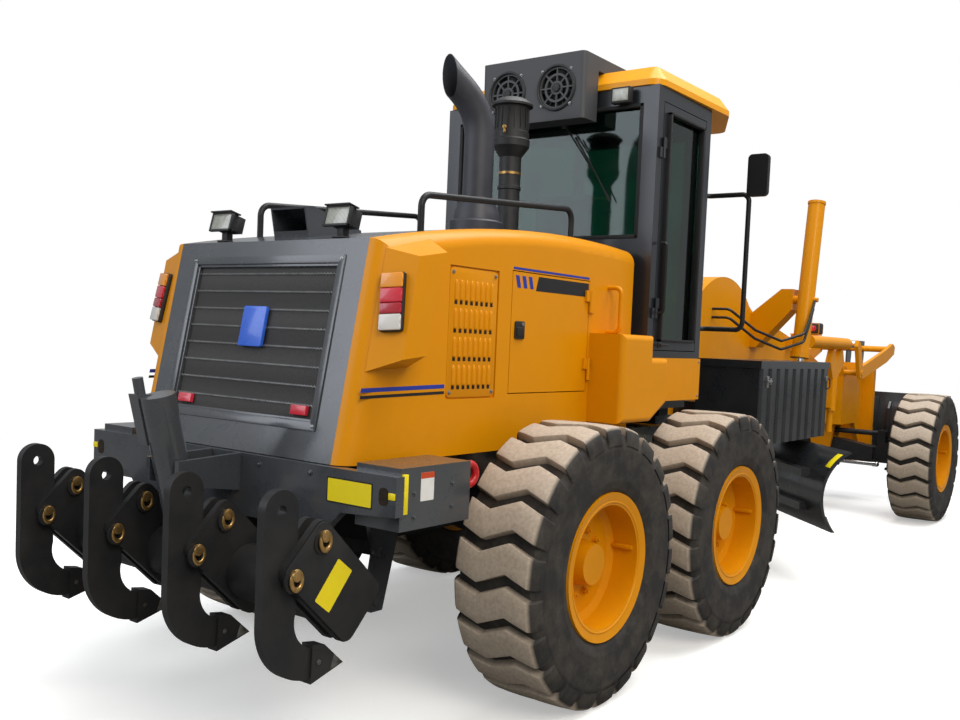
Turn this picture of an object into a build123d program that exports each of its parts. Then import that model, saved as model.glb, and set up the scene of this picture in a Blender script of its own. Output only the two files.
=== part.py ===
"""Motor grader: articulated frame, six wheels, circle-carried blade, rear ripper, front blade.

Millimetres. Stations count forward from the middle of the tandem wheels, y is to the left
and z is up from the ground. The part's origin is ORIGIN_X ahead of the tandem middle.
"""
import math
import os

from build123d import *

os.makedirs("parts", exist_ok=True)

# ---------------------------------------------------------------- driving dimensions
ORIGIN_X = 2381.0

TYRE_R = 675.0            # outer radius over the lugs
TYRE_W = 445.0            # section width
TREAD_HALF = 190.0        # half-width of the tread over the lugs
SHOULDER_R = 590.0        # where the sidewall is widest
LUGS = 22
GROOVE_FLOOR = 634.0      # radius of the floor between the lugs
GROOVE_W = 58.0
ZIGZAG = ((-240.0, -34.0), (-75.0, 30.0), (75.0, -30.0), (240.0, 34.0))   # y, swing round the tread
RIM_R = 318.0             # bead seat radius
FLANGE_R = 356.0          # rim flange radius
RIM_HALF = 190.0          # from the wheel's middle plane to the flange
DISC_OUT = 35.0           # outer face of the wheel disc, from the middle plane
HUB_R = 112.0
SPINDLE_R = 60.0
SPINDLE_FIT = 0.05        # radial play of a running spindle
WHEEL_Y = 1078.0          # half the track
TANDEM_HALF = 769.0       # half the distance between the two rear wheels of a side
FRONT_AXLE = 6219.0       # front axle ahead of the tandem middle

HINGE_X = 1750.0          # articulation hinge
HINGE_PIN_R = 55.0

HOOD_HALF = 730.0
HOOD_WALL = 40.0
HOOD_BOTTOM = 1190.0
HOOD_FRONT = 310.0
CAP_HALF = 640.0          # half-width of the dark top cap and rear shroud
PANEL_GAP = 5.0           # gap round doors
DOOR_REAR = -890.0        # engine door, rear and front edge
DOOR_FRONT = -175.0
DOOR_LOW = 1470.0
DOOR_HIGH = 2070.0

CAB_FLOOR = 1680.0
CAB_TOP = 3270.0
CAB_REAR = 385.0
CAB_MID = 1110.0          # front pillar of the doors
CAB_FRONT = 1560.0
CAB_HALF = 800.0
CAB_NOSE_HALF = 480.0
PILLAR = 70.0
GLASS = 6.0

BEAM_HALF = 150.0         # half-width of the front frame's gooseneck
RAIL_Y = 380.0            # middle of each frame rail
RAIL_W = 100.0
RAIL_LOW = 980.0
RAIL_HIGH = 1180.0

CIRCLE_X = 3750.0
CIRCLE_R = 600.0
CIRCLE_WALL = 110.0       # width of the ring
CIRCLE_TEETH = 48
CIRCLE_LOW = 1095.0       # underside and top of the ring
CIRCLE_HIGH = 1190.0
BLADE_HEADING = 45.0      # the blade's line, turned from the machine's, right end to the rear
BLADE_LENGTH = 3734.0
BLADE_OFFSET = 34.7      # how far the blade is shifted to its left end
BLADE_EDGE = 400.0        # height of the cutting edge as it stands
BLADE_TOP = 1000.0
BLADE_PLATE = 22.0

BALL = (FRONT_AXLE - 359.0, 0.0, 1210.0)          # drawbar's ball in the nose
BALL_R = 62.0
DRAWBAR_T = 100.0
LIFT_Y = 625.0                        # both lift cylinders' side planes
LIFT_TRUNNION = (3570.0, 2190.0)      # station and height
LIFT_EYE = (3440.0, 1330.0)

KINGPIN_Y = 770.0
KINGPIN_R = 35.0
LEAN_Y = 640.0            # wheel lean pivots at the axle's ends
AXLE_Z = 660.0
LEAN_BAR_Z = 880.0
STEER_ARM = 200.0         # tie rod behind the kingpins
STEER_Z = 560.0

RUN = 0.3                 # gap between faces that move past each other
PIN_FIT = 0.05            # radial play of a pin in its bore


# ---------------------------------------------------------------- small helpers
def point(x, y, z):
    """A point given by station, side and height."""
    return Vector(x - ORIGIN_X, y, z)


def side(y=0.0):
    """Lengthwise upright plane: sketch x is the station, sketch y the height."""
    return Plane(origin=(-ORIGIN_X, y, 0), x_dir=(1, 0, 0), z_dir=(0, -1, 0))


def cross(x):
    """Crosswise upright plane at a station: sketch x is y, sketch y the height."""
    return Plane(origin=(x - ORIGIN_X, 0, 0), x_dir=(0, 1, 0), z_dir=(1, 0, 0))


def deck(z=0.0):
    """Level plane: sketch x is the station, sketch y is y."""
    return Plane(origin=(-ORIGIN_X, 0, z))


def slab(plane, outline, thickness, rounding=0.0):
    """A plate of an outline, centred on its plane."""
    with BuildPart() as made:
        with BuildSketch(plane) as face:
            with BuildLine():
                Polyline(*outline, close=True)
            make_face()
            if rounding:
                fillet(face.vertices(), rounding)
        extrude(amount=thickness / 2, both=True)
    return made.part


def block(x0, x1, y0, y1, z0, z1):
    """A rectangular block between stations, sides and heights."""
    with BuildPart() as made:
        with BuildSketch(deck(z0)):
            with Locations(((x0 + x1) / 2, (y0 + y1) / 2)):
                Rectangle(abs(x1 - x0), abs(y1 - y0))
        extrude(amount=z1 - z0)
    return made.part


def bar(start, end, radius, bore=0.0):
    """A round bar or tube from one point to another."""
    first, last = point(*start), point(*end)
    with BuildPart() as made:
        with BuildSketch(Plane(origin=first, z_dir=last - first)):
            Circle(radius)
            if bore:
                Circle(bore, mode=Mode.SUBTRACT)
        extrude(amount=(last - first).length)
    return made.part


def bent_tube(route, radius, bend):
    """A tube along straight runs joined by bends."""
    with BuildPart() as made:
        with BuildLine() as path:
            FilletPolyline(*[point(*spot) for spot in route], radius=bend)
        with BuildSketch(Plane(origin=path.line @ 0, z_dir=path.line % 0)):
            Circle(radius)
        sweep()
    return made.part


def both_sides(part):
    """A piece and its mirror image on the other side."""
    with BuildPart() as made:
        add(part)
        mirror(about=Plane.XZ)
    return made.part


def save(part, name):
    """Label a finished piece and write it."""
    part.label = name
    export_step(part, f"parts/{name}.step")


# ---------------------------------------------------------------- wheels
with BuildPart() as groove:
    with BuildSketch(Plane(origin=(GROOVE_FLOOR, 0, 0), x_dir=(0, 1, 0), z_dir=(1, 0, 0))):
        with BuildLine():
            Polyline(*[(y, swing + GROOVE_W / 2) for y, swing in ZIGZAG],
                     *[(y, swing - GROOVE_W / 2) for y, swing in reversed(ZIGZAG)], close=True)
        make_face()
    extrude(amount=TYRE_R)

with BuildPart() as tyre:
    for half_width, apothem in ((-TYRE_W / 2, SHOULDER_R), (-TREAD_HALF, TYRE_R), (TREAD_HALF, TYRE_R),
                                (TYRE_W / 2, SHOULDER_R)):
        with BuildSketch(Plane.XZ.offset(half_width)):
            RegularPolygon(apothem, LUGS, major_radius=False)
    loft(ruled=True)
    for hand in (-1, 1):
        with BuildPart(mode=Mode.PRIVATE) as hollow:
            for half_width, apothem in ((RIM_HALF - 6, FLANGE_R), (TYRE_W / 2 + 1, SHOULDER_R + 2)):
                with BuildSketch(Plane.XZ.offset(hand * half_width)):
                    RegularPolygon(apothem, LUGS, major_radius=False)
            loft(ruled=True)
        add(hollow.part, mode=Mode.SUBTRACT)
    with BuildSketch(Plane.XZ):
        RegularPolygon(RIM_R, LUGS, major_radius=False)
    extrude(amount=TYRE_W, both=True, mode=Mode.SUBTRACT)
    add([Rotation(0, 360 / LUGS * step, 0) * groove.part for step in range(LUGS)], mode=Mode.SUBTRACT)

with BuildPart() as rim:
    with BuildSketch(Plane.XY):
        with BuildLine():
            Polyline(
                (HUB_R, -45), (HUB_R, DISC_OUT - 22), (RIM_R - 60, DISC_OUT - 22),
                (RIM_R - 22, -20), (RIM_R - 22, -RIM_HALF), (FLANGE_R, -RIM_HALF - 14),
                (FLANGE_R, -RIM_HALF + 2), (RIM_R - 0.3, -RIM_HALF + 5.7),
                (RIM_R - 0.3, RIM_HALF - 5.7), (FLANGE_R, RIM_HALF - 2), (FLANGE_R, RIM_HALF + 14),
                (RIM_R - 22, RIM_HALF), (RIM_R - 22, DISC_OUT + 20), (RIM_R - 60, DISC_OUT),
                (HUB_R, DISC_OUT), (HUB_R - 14, 120), (0, 120), (0, 88),
                (SPINDLE_R + SPINDLE_FIT, 88), (SPINDLE_R + SPINDLE_FIT, -45), close=True,
            )
        make_face()
    revolve(axis=Axis.Y)

WHEELS = (
    # name, station, side
    ("rear_right", -TANDEM_HALF, -1),
    ("mid_right", TANDEM_HALF, -1),
    ("front_right", FRONT_AXLE, -1),
    ("rear_left", -TANDEM_HALF, 1),
    ("mid_left", TANDEM_HALF, 1),
    ("front_left", FRONT_AXLE, 1),
)
for wheel, station, hand in WHEELS:
    turned = Rotation(0, 0, 0 if hand > 0 else 180)
    place = Location(point(station, hand * WHEEL_Y, TYRE_R)) * turned
    save(place * tyre.part, f"tyre_{wheel}")
    save(place * rim.part, f"rim_{wheel}")

# ---------------------------------------------------------------- tandem drive and rear axle
CASE_IN, CASE_OUT = 570.0, 790.0
CASE_R = 215.0
with BuildPart() as tandem_drive:
    with BuildSketch(side(-CASE_IN)):
        with Locations((0, TYRE_R)):
            SlotCenterToCenter(2 * TANDEM_HALF, 2 * CASE_R)
    extrude(amount=CASE_OUT - CASE_IN)
    add(bar((0, -CASE_IN - 60, 760), (0, 0, 760), 150))
    add(bar((0, -200, 760), (0, 0, 760), 225))
    for station in (-TANDEM_HALF, TANDEM_HALF):
        add(bar((station, -CASE_OUT + 10, TYRE_R), (station, -WHEEL_Y + 60, TYRE_R), 160))
        add(bar((station, -CASE_OUT, TYRE_R), (station, -WHEEL_Y - 80, TYRE_R), SPINDLE_R))
    mirror(about=Plane.XZ)
save(tandem_drive.part, "tandem_drive")

# ---------------------------------------------------------------- rear frame with its bumper
BUMPER_X, BUMPER_T, BUMPER_HALF, BUMPER_TOP = -1985.0, 45.0, 1040.0, 1187.0
EAR_T = 60.0
EAR_GAP = 130.0           # inner half-distance between the hinge ears of the rear frame
HINGE_Z = 1060.0
LOWER_FOOT = (-1440.0, 480.0)         # ripper links' pivots on the rear frame
UPPER_FOOT = (-1400.0, 700.0)
LINK_REACH = (-520.0, 160.0)          # from a link's foot to its far pivot, as the ripper stands
LINK_Y = 400.0
LINK_PLATE = 30.0
LINK_PIN_R = 25.0
RIPPER_TRUNNION = (-2270.0, 1120.0)   # ripper cylinder's seat behind the bumper
RIPPER_EYE = (-2210.0, 880.0)
RIPPER_ROD_R = 32.0
ARTIC_REAR, ARTIC_Y, ARTIC_Z = 1080.0, 380.0, 800.0
TOW_RING = (-1495.0, BUMPER_HALF - 55, 1150.0, 55.0)       # station, side, height and outer radius
VALVE_Y = 62.0                                  # valve block beside the ripper cylinder


def ripper_line(distance):
    """A point on the ripper cylinder's line, counted from its trunnion towards the rod's eye."""
    length = math.dist(RIPPER_TRUNNION, RIPPER_EYE)
    run = (RIPPER_EYE[0] - RIPPER_TRUNNION[0]) / length
    rise = (RIPPER_EYE[1] - RIPPER_TRUNNION[1]) / length
    return RIPPER_TRUNNION[0] + run * distance, 0, RIPPER_TRUNNION[1] + rise * distance


with BuildPart() as rear_frame:
    for hand in (-1, 1):
        add(slab(side(hand * RAIL_Y), (
            (BUMPER_X + BUMPER_T / 2, RAIL_HIGH), (CAB_FRONT - 60, RAIL_HIGH),
            (CAB_FRONT - 60, RAIL_LOW - 100), (300, RAIL_LOW), (BUMPER_X + BUMPER_T / 2, RAIL_LOW),
        ), RAIL_W))
        add(slab(side(hand * LINK_Y), (
            (LOWER_FOOT[0] - 60, LOWER_FOOT[1] - 20), (LOWER_FOOT[0] - 30, LOWER_FOOT[1] - 55),
            (LOWER_FOOT[0] + 45, LOWER_FOOT[1] - 55), (UPPER_FOOT[0] + 150, RAIL_LOW + 5),
            (UPPER_FOOT[0] - 130, RAIL_LOW + 5), (UPPER_FOOT[0] - 60, UPPER_FOOT[1]),
        ), LINK_PLATE))
        add(block(BUMPER_X + BUMPER_T / 2, -1530, hand * 780, hand * (BUMPER_HALF - 20), 965, 1215))
        add(block(-1700, -1560, hand * (RAIL_Y + RAIL_W / 2 - 2), hand * 782, 990, 1120))
        add(bar((0, hand * RAIL_Y, 760 + 150 + RUN), (0, hand * RAIL_Y, RAIL_LOW + 5), 95))
    add(slab(cross(BUMPER_X), (
        (-BUMPER_HALF, 1030), (-BUMPER_HALF, BUMPER_TOP), (BUMPER_HALF, BUMPER_TOP), (BUMPER_HALF, 1030),
        (740, 1010), (640, 915), (-640, 915), (-740, 1010),
    ), BUMPER_T))
    for hand in (-1, 1):
        for station in (-1450, -300):
            add(block(station, station + 110, hand * RAIL_Y, hand * (HOOD_HALF - 5), RAIL_LOW + 60,
                      HOOD_BOTTOM - RUN))
    for station in (-1700, -150, 1150):
        add(block(station, station + 120, -RAIL_Y, RAIL_Y, RAIL_LOW + 20, RAIL_HIGH))
    add(slab(deck(HINGE_Z + EAR_GAP + EAR_T / 2), (
        (CAB_FRONT - 300, -430), (CAB_FRONT - 60, -430), (HINGE_X + 60, -110),
        (HINGE_X + 60, 110), (CAB_FRONT - 60, 430), (CAB_FRONT - 300, 430),
    ), EAR_T))
    add(slab(deck(HINGE_Z - EAR_GAP - EAR_T / 2), (
        (CAB_FRONT - 300, -430), (CAB_FRONT - 60, -430), (HINGE_X + 60, -110),
        (HINGE_X + 60, 110), (CAB_FRONT - 60, 430), (CAB_FRONT - 300, 430),
    ), EAR_T))
    add(bar((HINGE_X, 0, HINGE_Z - EAR_GAP - EAR_T - 20), (HINGE_X, 0, HINGE_Z + EAR_GAP + EAR_T + 20),
            HINGE_PIN_R))
    for foot in (LOWER_FOOT, UPPER_FOOT):
        add(bar((foot[0], -LINK_Y - 25, foot[1]), (foot[0], LINK_Y + 25, foot[1]), LINK_PIN_R))
    for hand in (-1, 1):
        add(slab(side(hand * 100), (
            (BUMPER_X, 1020), (BUMPER_X, BUMPER_TOP), (RIPPER_TRUNNION[0] - 50, 1170),
            (RIPPER_TRUNNION[0] - 50, 1070), (RIPPER_TRUNNION[0] + 60, 1050),
        ), 26))
        add(slab(side(hand * ARTIC_Y), (
            (ARTIC_REAR - 60, 950), (ARTIC_REAR - 60, 985), (ARTIC_REAR + 60, 985), (ARTIC_REAR + 60, 900),
        ), 60))
    add(bar((RIPPER_TRUNNION[0], -112, RIPPER_TRUNNION[1]), (RIPPER_TRUNNION[0], 112, RIPPER_TRUNNION[1]), 30))
    for hand in (-1, 1):
        with BuildSketch(side(hand * TOW_RING[1])):
            with Locations((TOW_RING[0], TOW_RING[2])):
                Circle(TOW_RING[3])
                Circle(TOW_RING[3] - 24, mode=Mode.SUBTRACT)
        extrude(amount=12, both=True)
    add(slab(side(VALVE_Y), (ripper_line(-330)[::2], ripper_line(-110)[::2],
                             (ripper_line(-110)[0] - 75, ripper_line(-110)[2]),
                             (ripper_line(-330)[0] - 75, ripper_line(-330)[2])), 62))
    add(bar((ripper_line(-330)[0] - 38, VALVE_Y, ripper_line(-330)[2] - 10),
            (ripper_line(-400)[0] - 38, VALVE_Y, ripper_line(-400)[2]), 22))
    add(bar(ripper_line(-330), ripper_line(196), 72))
    add(bar(ripper_line(-318), ripper_line(200), RIPPER_ROD_R + PIN_FIT), mode=Mode.SUBTRACT)
    for hand in (-1, 1):
        add(bar((ARTIC_REAR, hand * ARTIC_Y, ARTIC_Z + 50), (ARTIC_REAR, hand * ARTIC_Y, 985), 25))
save(rear_frame.part, "rear_frame")

# ---------------------------------------------------------------- engine under the hood
with BuildPart() as engine:
    with BuildSketch(deck(RAIL_HIGH)):
        with Locations((-870, 0)):
            RectangleRounded(1250, 2 * RAIL_Y, 40)
    extrude(amount=760)
save(engine.part, "engine")

# ---------------------------------------------------------------- hood
REAR_LOW, REAR_TOP = (-1975.0, HOOD_BOTTOM), (-1795.0, 2135.0)     # ends of the sloping rear face
HOOD_CROWN, HOOD_FRONT_TOP = (-800.0, 2283.0), (HOOD_FRONT, 2290.0)


def rear_edge(height, ahead=0.0):
    """Station and height of a point ahead of the sloping rear edge."""
    slope = (REAR_TOP[0] - REAR_LOW[0]) / (REAR_TOP[1] - REAR_LOW[1])
    return REAR_LOW[0] + (height - REAR_LOW[1]) * slope + ahead, height


def rear_face(depth=0.0):
    """Plane on the hood's sloping rear face, moved inward: sketch x to the right, y up the slope."""
    lean = math.atan2(REAR_TOP[0] - REAR_LOW[0], REAR_TOP[1] - REAR_LOW[1])
    outward = Vector(-math.cos(lean), 0, math.sin(lean))
    return Plane(origin=point(REAR_LOW[0], 0, REAR_LOW[1]) - outward * depth, x_dir=(0, -1, 0),
                 z_dir=outward)


with BuildPart() as hood:
    with BuildSketch(side()):
        with BuildLine():
            Polyline(HOOD_FRONT_TOP, (HOOD_FRONT, HOOD_BOTTOM), REAR_LOW, REAR_TOP)
            ThreePointArc(REAR_TOP, HOOD_CROWN, HOOD_FRONT_TOP)
        make_face()
    extrude(amount=HOOD_HALF, both=True)
    long_edges = hood.edges().filter_by(lambda edge: edge.center().Z > 1300 and abs(edge.center().Y) > 700)
    fillet(long_edges.filter_by(lambda edge: abs((edge @ 0).X - (edge @ 1).X) > 100), 85)
    offset(amount=-HOOD_WALL, openings=hood.faces().sort_by(Axis.Z)[0])
    for hand in (-1, 1):
        add(slab(side(hand * HOOD_HALF), (
            (DOOR_REAR - PANEL_GAP, DOOR_LOW - PANEL_GAP), (DOOR_REAR - PANEL_GAP, DOOR_HIGH + PANEL_GAP),
            (DOOR_FRONT + PANEL_GAP, DOOR_HIGH + PANEL_GAP), (DOOR_FRONT + PANEL_GAP, DOOR_LOW - PANEL_GAP),
        ), 3 * HOOD_WALL), mode=Mode.SUBTRACT)

GRILLE_HALF = 520.0
GRILLE_LOW, GRILLE_TALL = 125.0, 765.0          # up the slope of the rear face
GRILLE_FRAME, GRILLE_DEEP = 40.0, 40.0
SCOOP = (-1640.0, 20.0, 120.0)                  # rear lip: station, middle and half-width
with BuildPart() as hood_shroud:
    add(hood.part)
    add(block(-2100, 500, -CAP_HALF, CAP_HALF, 1100, 2400), mode=Mode.INTERSECT)
    with BuildSketch(rear_face()):
        with Locations((0, GRILLE_LOW + GRILLE_TALL / 2)):
            RectangleRounded(2 * GRILLE_HALF, GRILLE_TALL, 30)
    extrude(amount=2 * HOOD_WALL, both=True, mode=Mode.SUBTRACT)
    add(slab(side(SCOOP[1]), ((SCOOP[0], 2140), (SCOOP[0] - 35, 2305), (SCOOP[0] + 20, 2312),
                              (SCOOP[0] + 330, 2235), (SCOOP[0] + 330, 2190)), 2 * SCOOP[2]))
    add(slab(side(SCOOP[1]), ((SCOOP[0] - 50, 2195), (SCOOP[0] - 50, 2295), (SCOOP[0] + 20, 2298),
                              (SCOOP[0] + 180, 2240), (SCOOP[0] + 100, 2205)), 2 * SCOOP[2] - 16),
        mode=Mode.SUBTRACT)
save(hood_shroud.part, "hood_shroud")

POD_IN, POD_OUT = HOOD_HALF - 15.0, 870.0        # tail lamp pods, from inside the panel outwards
POD_FOOT = (rear_edge(2095, 30), (-1500, 2160), (-1625, 1590), rear_edge(1575, 30))
POD_FACE = (rear_edge(2060, 75), (-1560, 2092), (-1672, 1650), rear_edge(1632, 75))
LOCKER_REAR, LOCKER_FRONT, LOCKER_OUT = -150.0, 205.0, 950.0
SKIRT_OUT = 835.0
DOOR_T = 30.0
HINGE_R = 10.0
HINGE_LEAF = 45.0
HINGE_KNUCKLE = 60.0


def hinge_half(station, hand, face, leaf, low):
    """One knuckle of a door hinge with its leaf, lying on the panel's outer face."""
    with BuildPart() as made:
        add(bar((station, hand * (face + 12), low), (station, hand * (face + 12), low + HINGE_KNUCKLE), HINGE_R))
        add(block(station, station + leaf, hand * (face + 5), hand * (face + 12), low, low + HINGE_KNUCKLE))
        add(block(station + leaf * 0.3, station + leaf, hand * face, hand * (face + 8), low,
                  low + HINGE_KNUCKLE))
    return made.part


DOOR_KNUCKLES = (1530.0, 1900.0)
HANDLE_X, HANDLE_OUT, HANDLE_LOW, HANDLE_HIGH = 30.0, 815.0, 1800.0, 2050.0
with BuildPart() as locker:
    add(slab(side(-(HOOD_HALF + LOCKER_OUT) / 2), (
        (LOCKER_REAR, 1300), (LOCKER_REAR, 1790), (LOCKER_FRONT, 1790), (LOCKER_FRONT, 1662),
        (HOOD_FRONT + 80, 1662), (HOOD_FRONT + 80, 1400), (LOCKER_FRONT, 1300),
    ), LOCKER_OUT - HOOD_HALF))
    outer_edges = locker.edges().filter_by(lambda edge: abs((edge @ 0).Y + LOCKER_OUT) < 1)
    fillet(outer_edges.filter_by(lambda edge: abs((edge @ 1).Y + LOCKER_OUT) < 1), 30)
with BuildPart() as side_panels:
    add(hood.part)
    add(block(-2100, 500, -1000, -CAP_HALF, 1100, 2400), mode=Mode.INTERSECT)
    for spread, outline in ((POD_IN, POD_FOOT), (POD_OUT, POD_FACE)):
        with BuildSketch(side(-spread)):
            with BuildLine():
                Polyline(*outline, close=True)
            make_face()
    loft(ruled=True)
    add(block(-1370, -1000, -HOOD_HALF - 5, -HOOD_HALF + 12, 1450, 2060), mode=Mode.SUBTRACT)
    with BuildSketch(side(-HOOD_HALF + HOOD_WALL / 2)):
        with Locations((-1185, 1755)):
            with GridLocations(38, 140, 8, 4):
                SlotOverall(105, 14, rotation=90)
    extrude(amount=HOOD_WALL, both=True, mode=Mode.SUBTRACT)
    add(slab(side(-(HOOD_HALF + SKIRT_OUT) / 2), (
        (HOOD_FRONT + 80, 1662), (1060, 1662), (1060, 1400), (HOOD_FRONT + 80, 1400),
    ), SKIRT_OUT - HOOD_HALF))
    add(locker.part)
    add(bent_tube(((HANDLE_X, -HOOD_HALF + 10, HANDLE_LOW), (HANDLE_X, -HANDLE_OUT, HANDLE_LOW),
                   (HANDLE_X, -HANDLE_OUT, HANDLE_HIGH), (HANDLE_X, -HOOD_HALF + 10, HANDLE_HIGH)), 13, 35))
    for low in DOOR_KNUCKLES:
        add(hinge_half(DOOR_FRONT + PANEL_GAP / 2, -1, HOOD_HALF, HINGE_LEAF, low))
    mirror(about=Plane.XZ)
save(side_panels.part, "side_panels")

for name, hand in (("right", -1), ("left", 1)):
    with BuildPart() as engine_door:
        add(slab(side(hand * (HOOD_HALF - DOOR_T / 2)), (
            (DOOR_REAR, DOOR_LOW), (DOOR_REAR, DOOR_HIGH), (DOOR_FRONT, DOOR_HIGH), (DOOR_FRONT, DOOR_LOW),
        ), DOOR_T))
        add(block(DOOR_REAR + 30, DOOR_REAR + 105, hand * (HOOD_HALF - 2), hand * (HOOD_HALF + 7),
                  1740, 1825))
        for low in DOOR_KNUCKLES:
            add(hinge_half(DOOR_FRONT + PANEL_GAP / 2, hand, HOOD_HALF, -HINGE_LEAF, low + HINGE_KNUCKLE + RUN))
    save(engine_door.part, f"engine_door_{name}")

# ---------------------------------------------------------------- grille
WIRES = 9
WAVE, WAVE_PITCH, WIRE_W = 4.0, 36.0, 9.0        # each wire of the screen is pressed into a zigzag
GRILLE_MID = GRILLE_LOW + GRILLE_TALL / 2
OPEN_HALF = GRILLE_HALF - GRILLE_FRAME
OPEN_TALL = GRILLE_TALL - 2 * GRILLE_FRAME
with BuildPart() as grille:
    with BuildSketch(rear_face(-8)):
        with Locations((0, GRILLE_MID)):
            RectangleRounded(2 * (GRILLE_HALF - RUN), GRILLE_TALL - 2 * RUN, 29)
            RectangleRounded(2 * OPEN_HALF, OPEN_TALL, 12, mode=Mode.SUBTRACT)
    extrude(amount=-8 - GRILLE_DEEP)
    with BuildSketch(rear_face(GRILLE_DEEP - 8)):
        with Locations((0, GRILLE_MID)):
            Rectangle(2 * OPEN_HALF + 10, OPEN_TALL + 10)
    extrude(amount=-8)
    turns = int(2 * OPEN_HALF / WAVE_PITCH)
    across = [-OPEN_HALF - 2 + (2 * OPEN_HALF + 4) * step / turns for step in range(turns + 1)]
    with BuildSketch(rear_face(GRILLE_DEEP - 7)):
        for wire in range(WIRES):
            level = GRILLE_LOW + GRILLE_FRAME + OPEN_TALL * (wire + 1) / (WIRES + 1)
            with BuildLine():
                Polyline(*[(x, level + WIRE_W / 2 + WAVE * (-1) ** n) for n, x in enumerate(across)],
                         *[(x, level - WIRE_W / 2 + WAVE * (-1) ** n) for n, x in
                           reversed(list(enumerate(across)))], close=True)
            make_face()
    extrude(amount=11)
save(grille.part, "grille")

# ---------------------------------------------------------------- exhaust and air intake on the hood
STACK, STACK_R, STACK_WALL = (-484.0, -160.0), 86.0, 5.0
MOUTH = (-655.0, -95.0, 3070.0)                 # middle of the exhaust's slanting mouth
PRECLEANER = (-110.0, -100.0)
STACK_BASE = 2262.0                             # inside the thickness of the hood's top
STACK_ROUTE = (point(*STACK, STACK_BASE), point(*STACK, 2940), point(STACK[0] - 300, STACK[1] + 115, 3190))
with BuildPart() as precleaner:
    with BuildSketch(Plane.XZ):
        with BuildLine():
            Polyline((0, 2880), (66, 2880), (94, 2925), (94, 3075), (122, 3085), (122, 3108), (60, 3150),
                     (0, 3155), close=True)
        make_face()
    revolve(axis=Axis.Z)

with BuildPart() as stacks:
    for radius, hollow_mode in ((STACK_R, Mode.ADD), (STACK_R - STACK_WALL, Mode.SUBTRACT)):
        with BuildLine() as stack_line:
            if hollow_mode == Mode.ADD:
                FilletPolyline(*STACK_ROUTE, radius=130)
            else:
                FilletPolyline(point(*STACK, 2700), *STACK_ROUTE[1:], radius=130)
        with BuildSketch(Plane(origin=stack_line.line @ 0, z_dir=stack_line.line % 0)):
            Circle(radius)
        sweep(mode=hollow_mode)
    split(bisect_by=Plane(origin=point(*MOUTH), z_dir=(0.88, -0.34, 0.33)), keep=Keep.TOP)
    with BuildSketch(Plane(origin=point(*STACK, STACK_BASE))):
        Circle(142)
        Circle(STACK_R - 2, mode=Mode.SUBTRACT)
    extrude(amount=2435 - STACK_BASE)
    with BuildSketch(Plane(origin=point(*STACK, 2435))):
        Circle(142)
    with BuildSketch(Plane(origin=point(*STACK, 2505))):
        Circle(STACK_R + 4)
    loft()
    add(bar((*PRECLEANER, STACK_BASE), (*PRECLEANER, 2920), 66))
    add(Location(point(*PRECLEANER, 0)) * precleaner.part)
    add(hood.part, mode=Mode.SUBTRACT)
save(stacks.part, "stacks")

# ---------------------------------------------------------------- lamps
LAMP_TALL, LAMP_WIDE, LAMP_DEEP = 250.0, 112.0, 34.0
REFLECTOR = (395.0, 168.0, 95.0, 42.0)          # y, up the slope, width and height


def mean(*spots):
    """The middle of some points."""
    return sum(spots, Vector(0, 0, 0)) * (1 / len(spots))


pod_in = [point(x, -POD_IN, z) for x, z in (POD_FOOT[0], POD_FOOT[3])]
pod_out = [point(x, -POD_OUT, z) for x, z in (POD_FACE[0], POD_FACE[3])]
outwards = mean(*pod_out) - mean(*pod_in)
upwards = mean(pod_in[0], pod_out[0]) - mean(pod_in[1], pod_out[1])
with BuildPart() as lamps:
    with BuildSketch(Plane(origin=mean(*pod_in, *pod_out), x_dir=outwards, z_dir=outwards.cross(upwards))):
        with Locations((0, 25)):
            RectangleRounded(LAMP_WIDE, LAMP_TALL, 10)
    extrude(amount=LAMP_DEEP)
    add(side_panels.part, mode=Mode.SUBTRACT)
    with BuildSketch(rear_face(GRILLE_DEEP - 18 - RUN)):
        with Locations((REFLECTOR[0], REFLECTOR[1] + 40)):
            Rectangle(REFLECTOR[2], REFLECTOR[3])
    extrude(amount=12)
    mirror(about=Plane.XZ)
save(lamps.part, "lamps")

HOOD_LAMPS = ((-1740.0, -400.0), (-1740.0, 400.0))
with BuildPart() as work_lamps:
    for station, y in HOOD_LAMPS:
        with BuildPart(mode=Mode.PRIVATE) as housing:
            with BuildSketch(Plane(origin=point(station, y, 2240), x_dir=(0, -1, 0), z_dir=(-0.94, 0, -0.34))):
                RectangleRounded(158, 96, 18)
            extrude(amount=-40)
            with BuildSketch(Plane(origin=point(station + 80, y, 2270), x_dir=(0, -1, 0), z_dir=(-0.94, 0, -0.34))):
                RectangleRounded(96, 50, 14)
            add(slab(side(y), ((station + 6, 2288), (station - 34, 2284), (station - 30, 2272),
                               (station + 10, 2276)), 150))
            add(slab(side(y), ((station - 10, 2125), (station, 2215), (station + 60, 2225),
                               (station + 110, 2140)), 60))
        add(housing.part)
    add(hood.part, mode=Mode.SUBTRACT)
save(work_lamps.part, "work_lamps")

# ---------------------------------------------------------------- rails
RAIL_R = 16.0
with BuildPart() as rails_and_mirrors:
    add(bent_tube(((-1390, -560, 2210), (-1390, -560, 2378), (-130, -560, 2478), (-130, -560, 2262)),
                  RAIL_R, 60))
    add(hood.part, mode=Mode.SUBTRACT)
    add(bent_tube(((1530.2, -501.7, 1870), (1600, -600, 1870), (1600, -880, 1870), (1600, -880, 2800),
                   (1600, -600, 2800), (1530.2, -501.7, 2800)), 17, 50))
    add(bar((1600, -880, 2790), (1600, -930, 2860), 11))
    with BuildSketch(Plane(origin=point(1580, -938, 2925), x_dir=(0, 1, 0), z_dir=(1, 0, 0))):
        RectangleRounded(145, 285, 30)
    extrude(amount=42)
    mirror(about=Plane.XZ)
save(rails_and_mirrors.part, "rails_and_mirrors")

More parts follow.
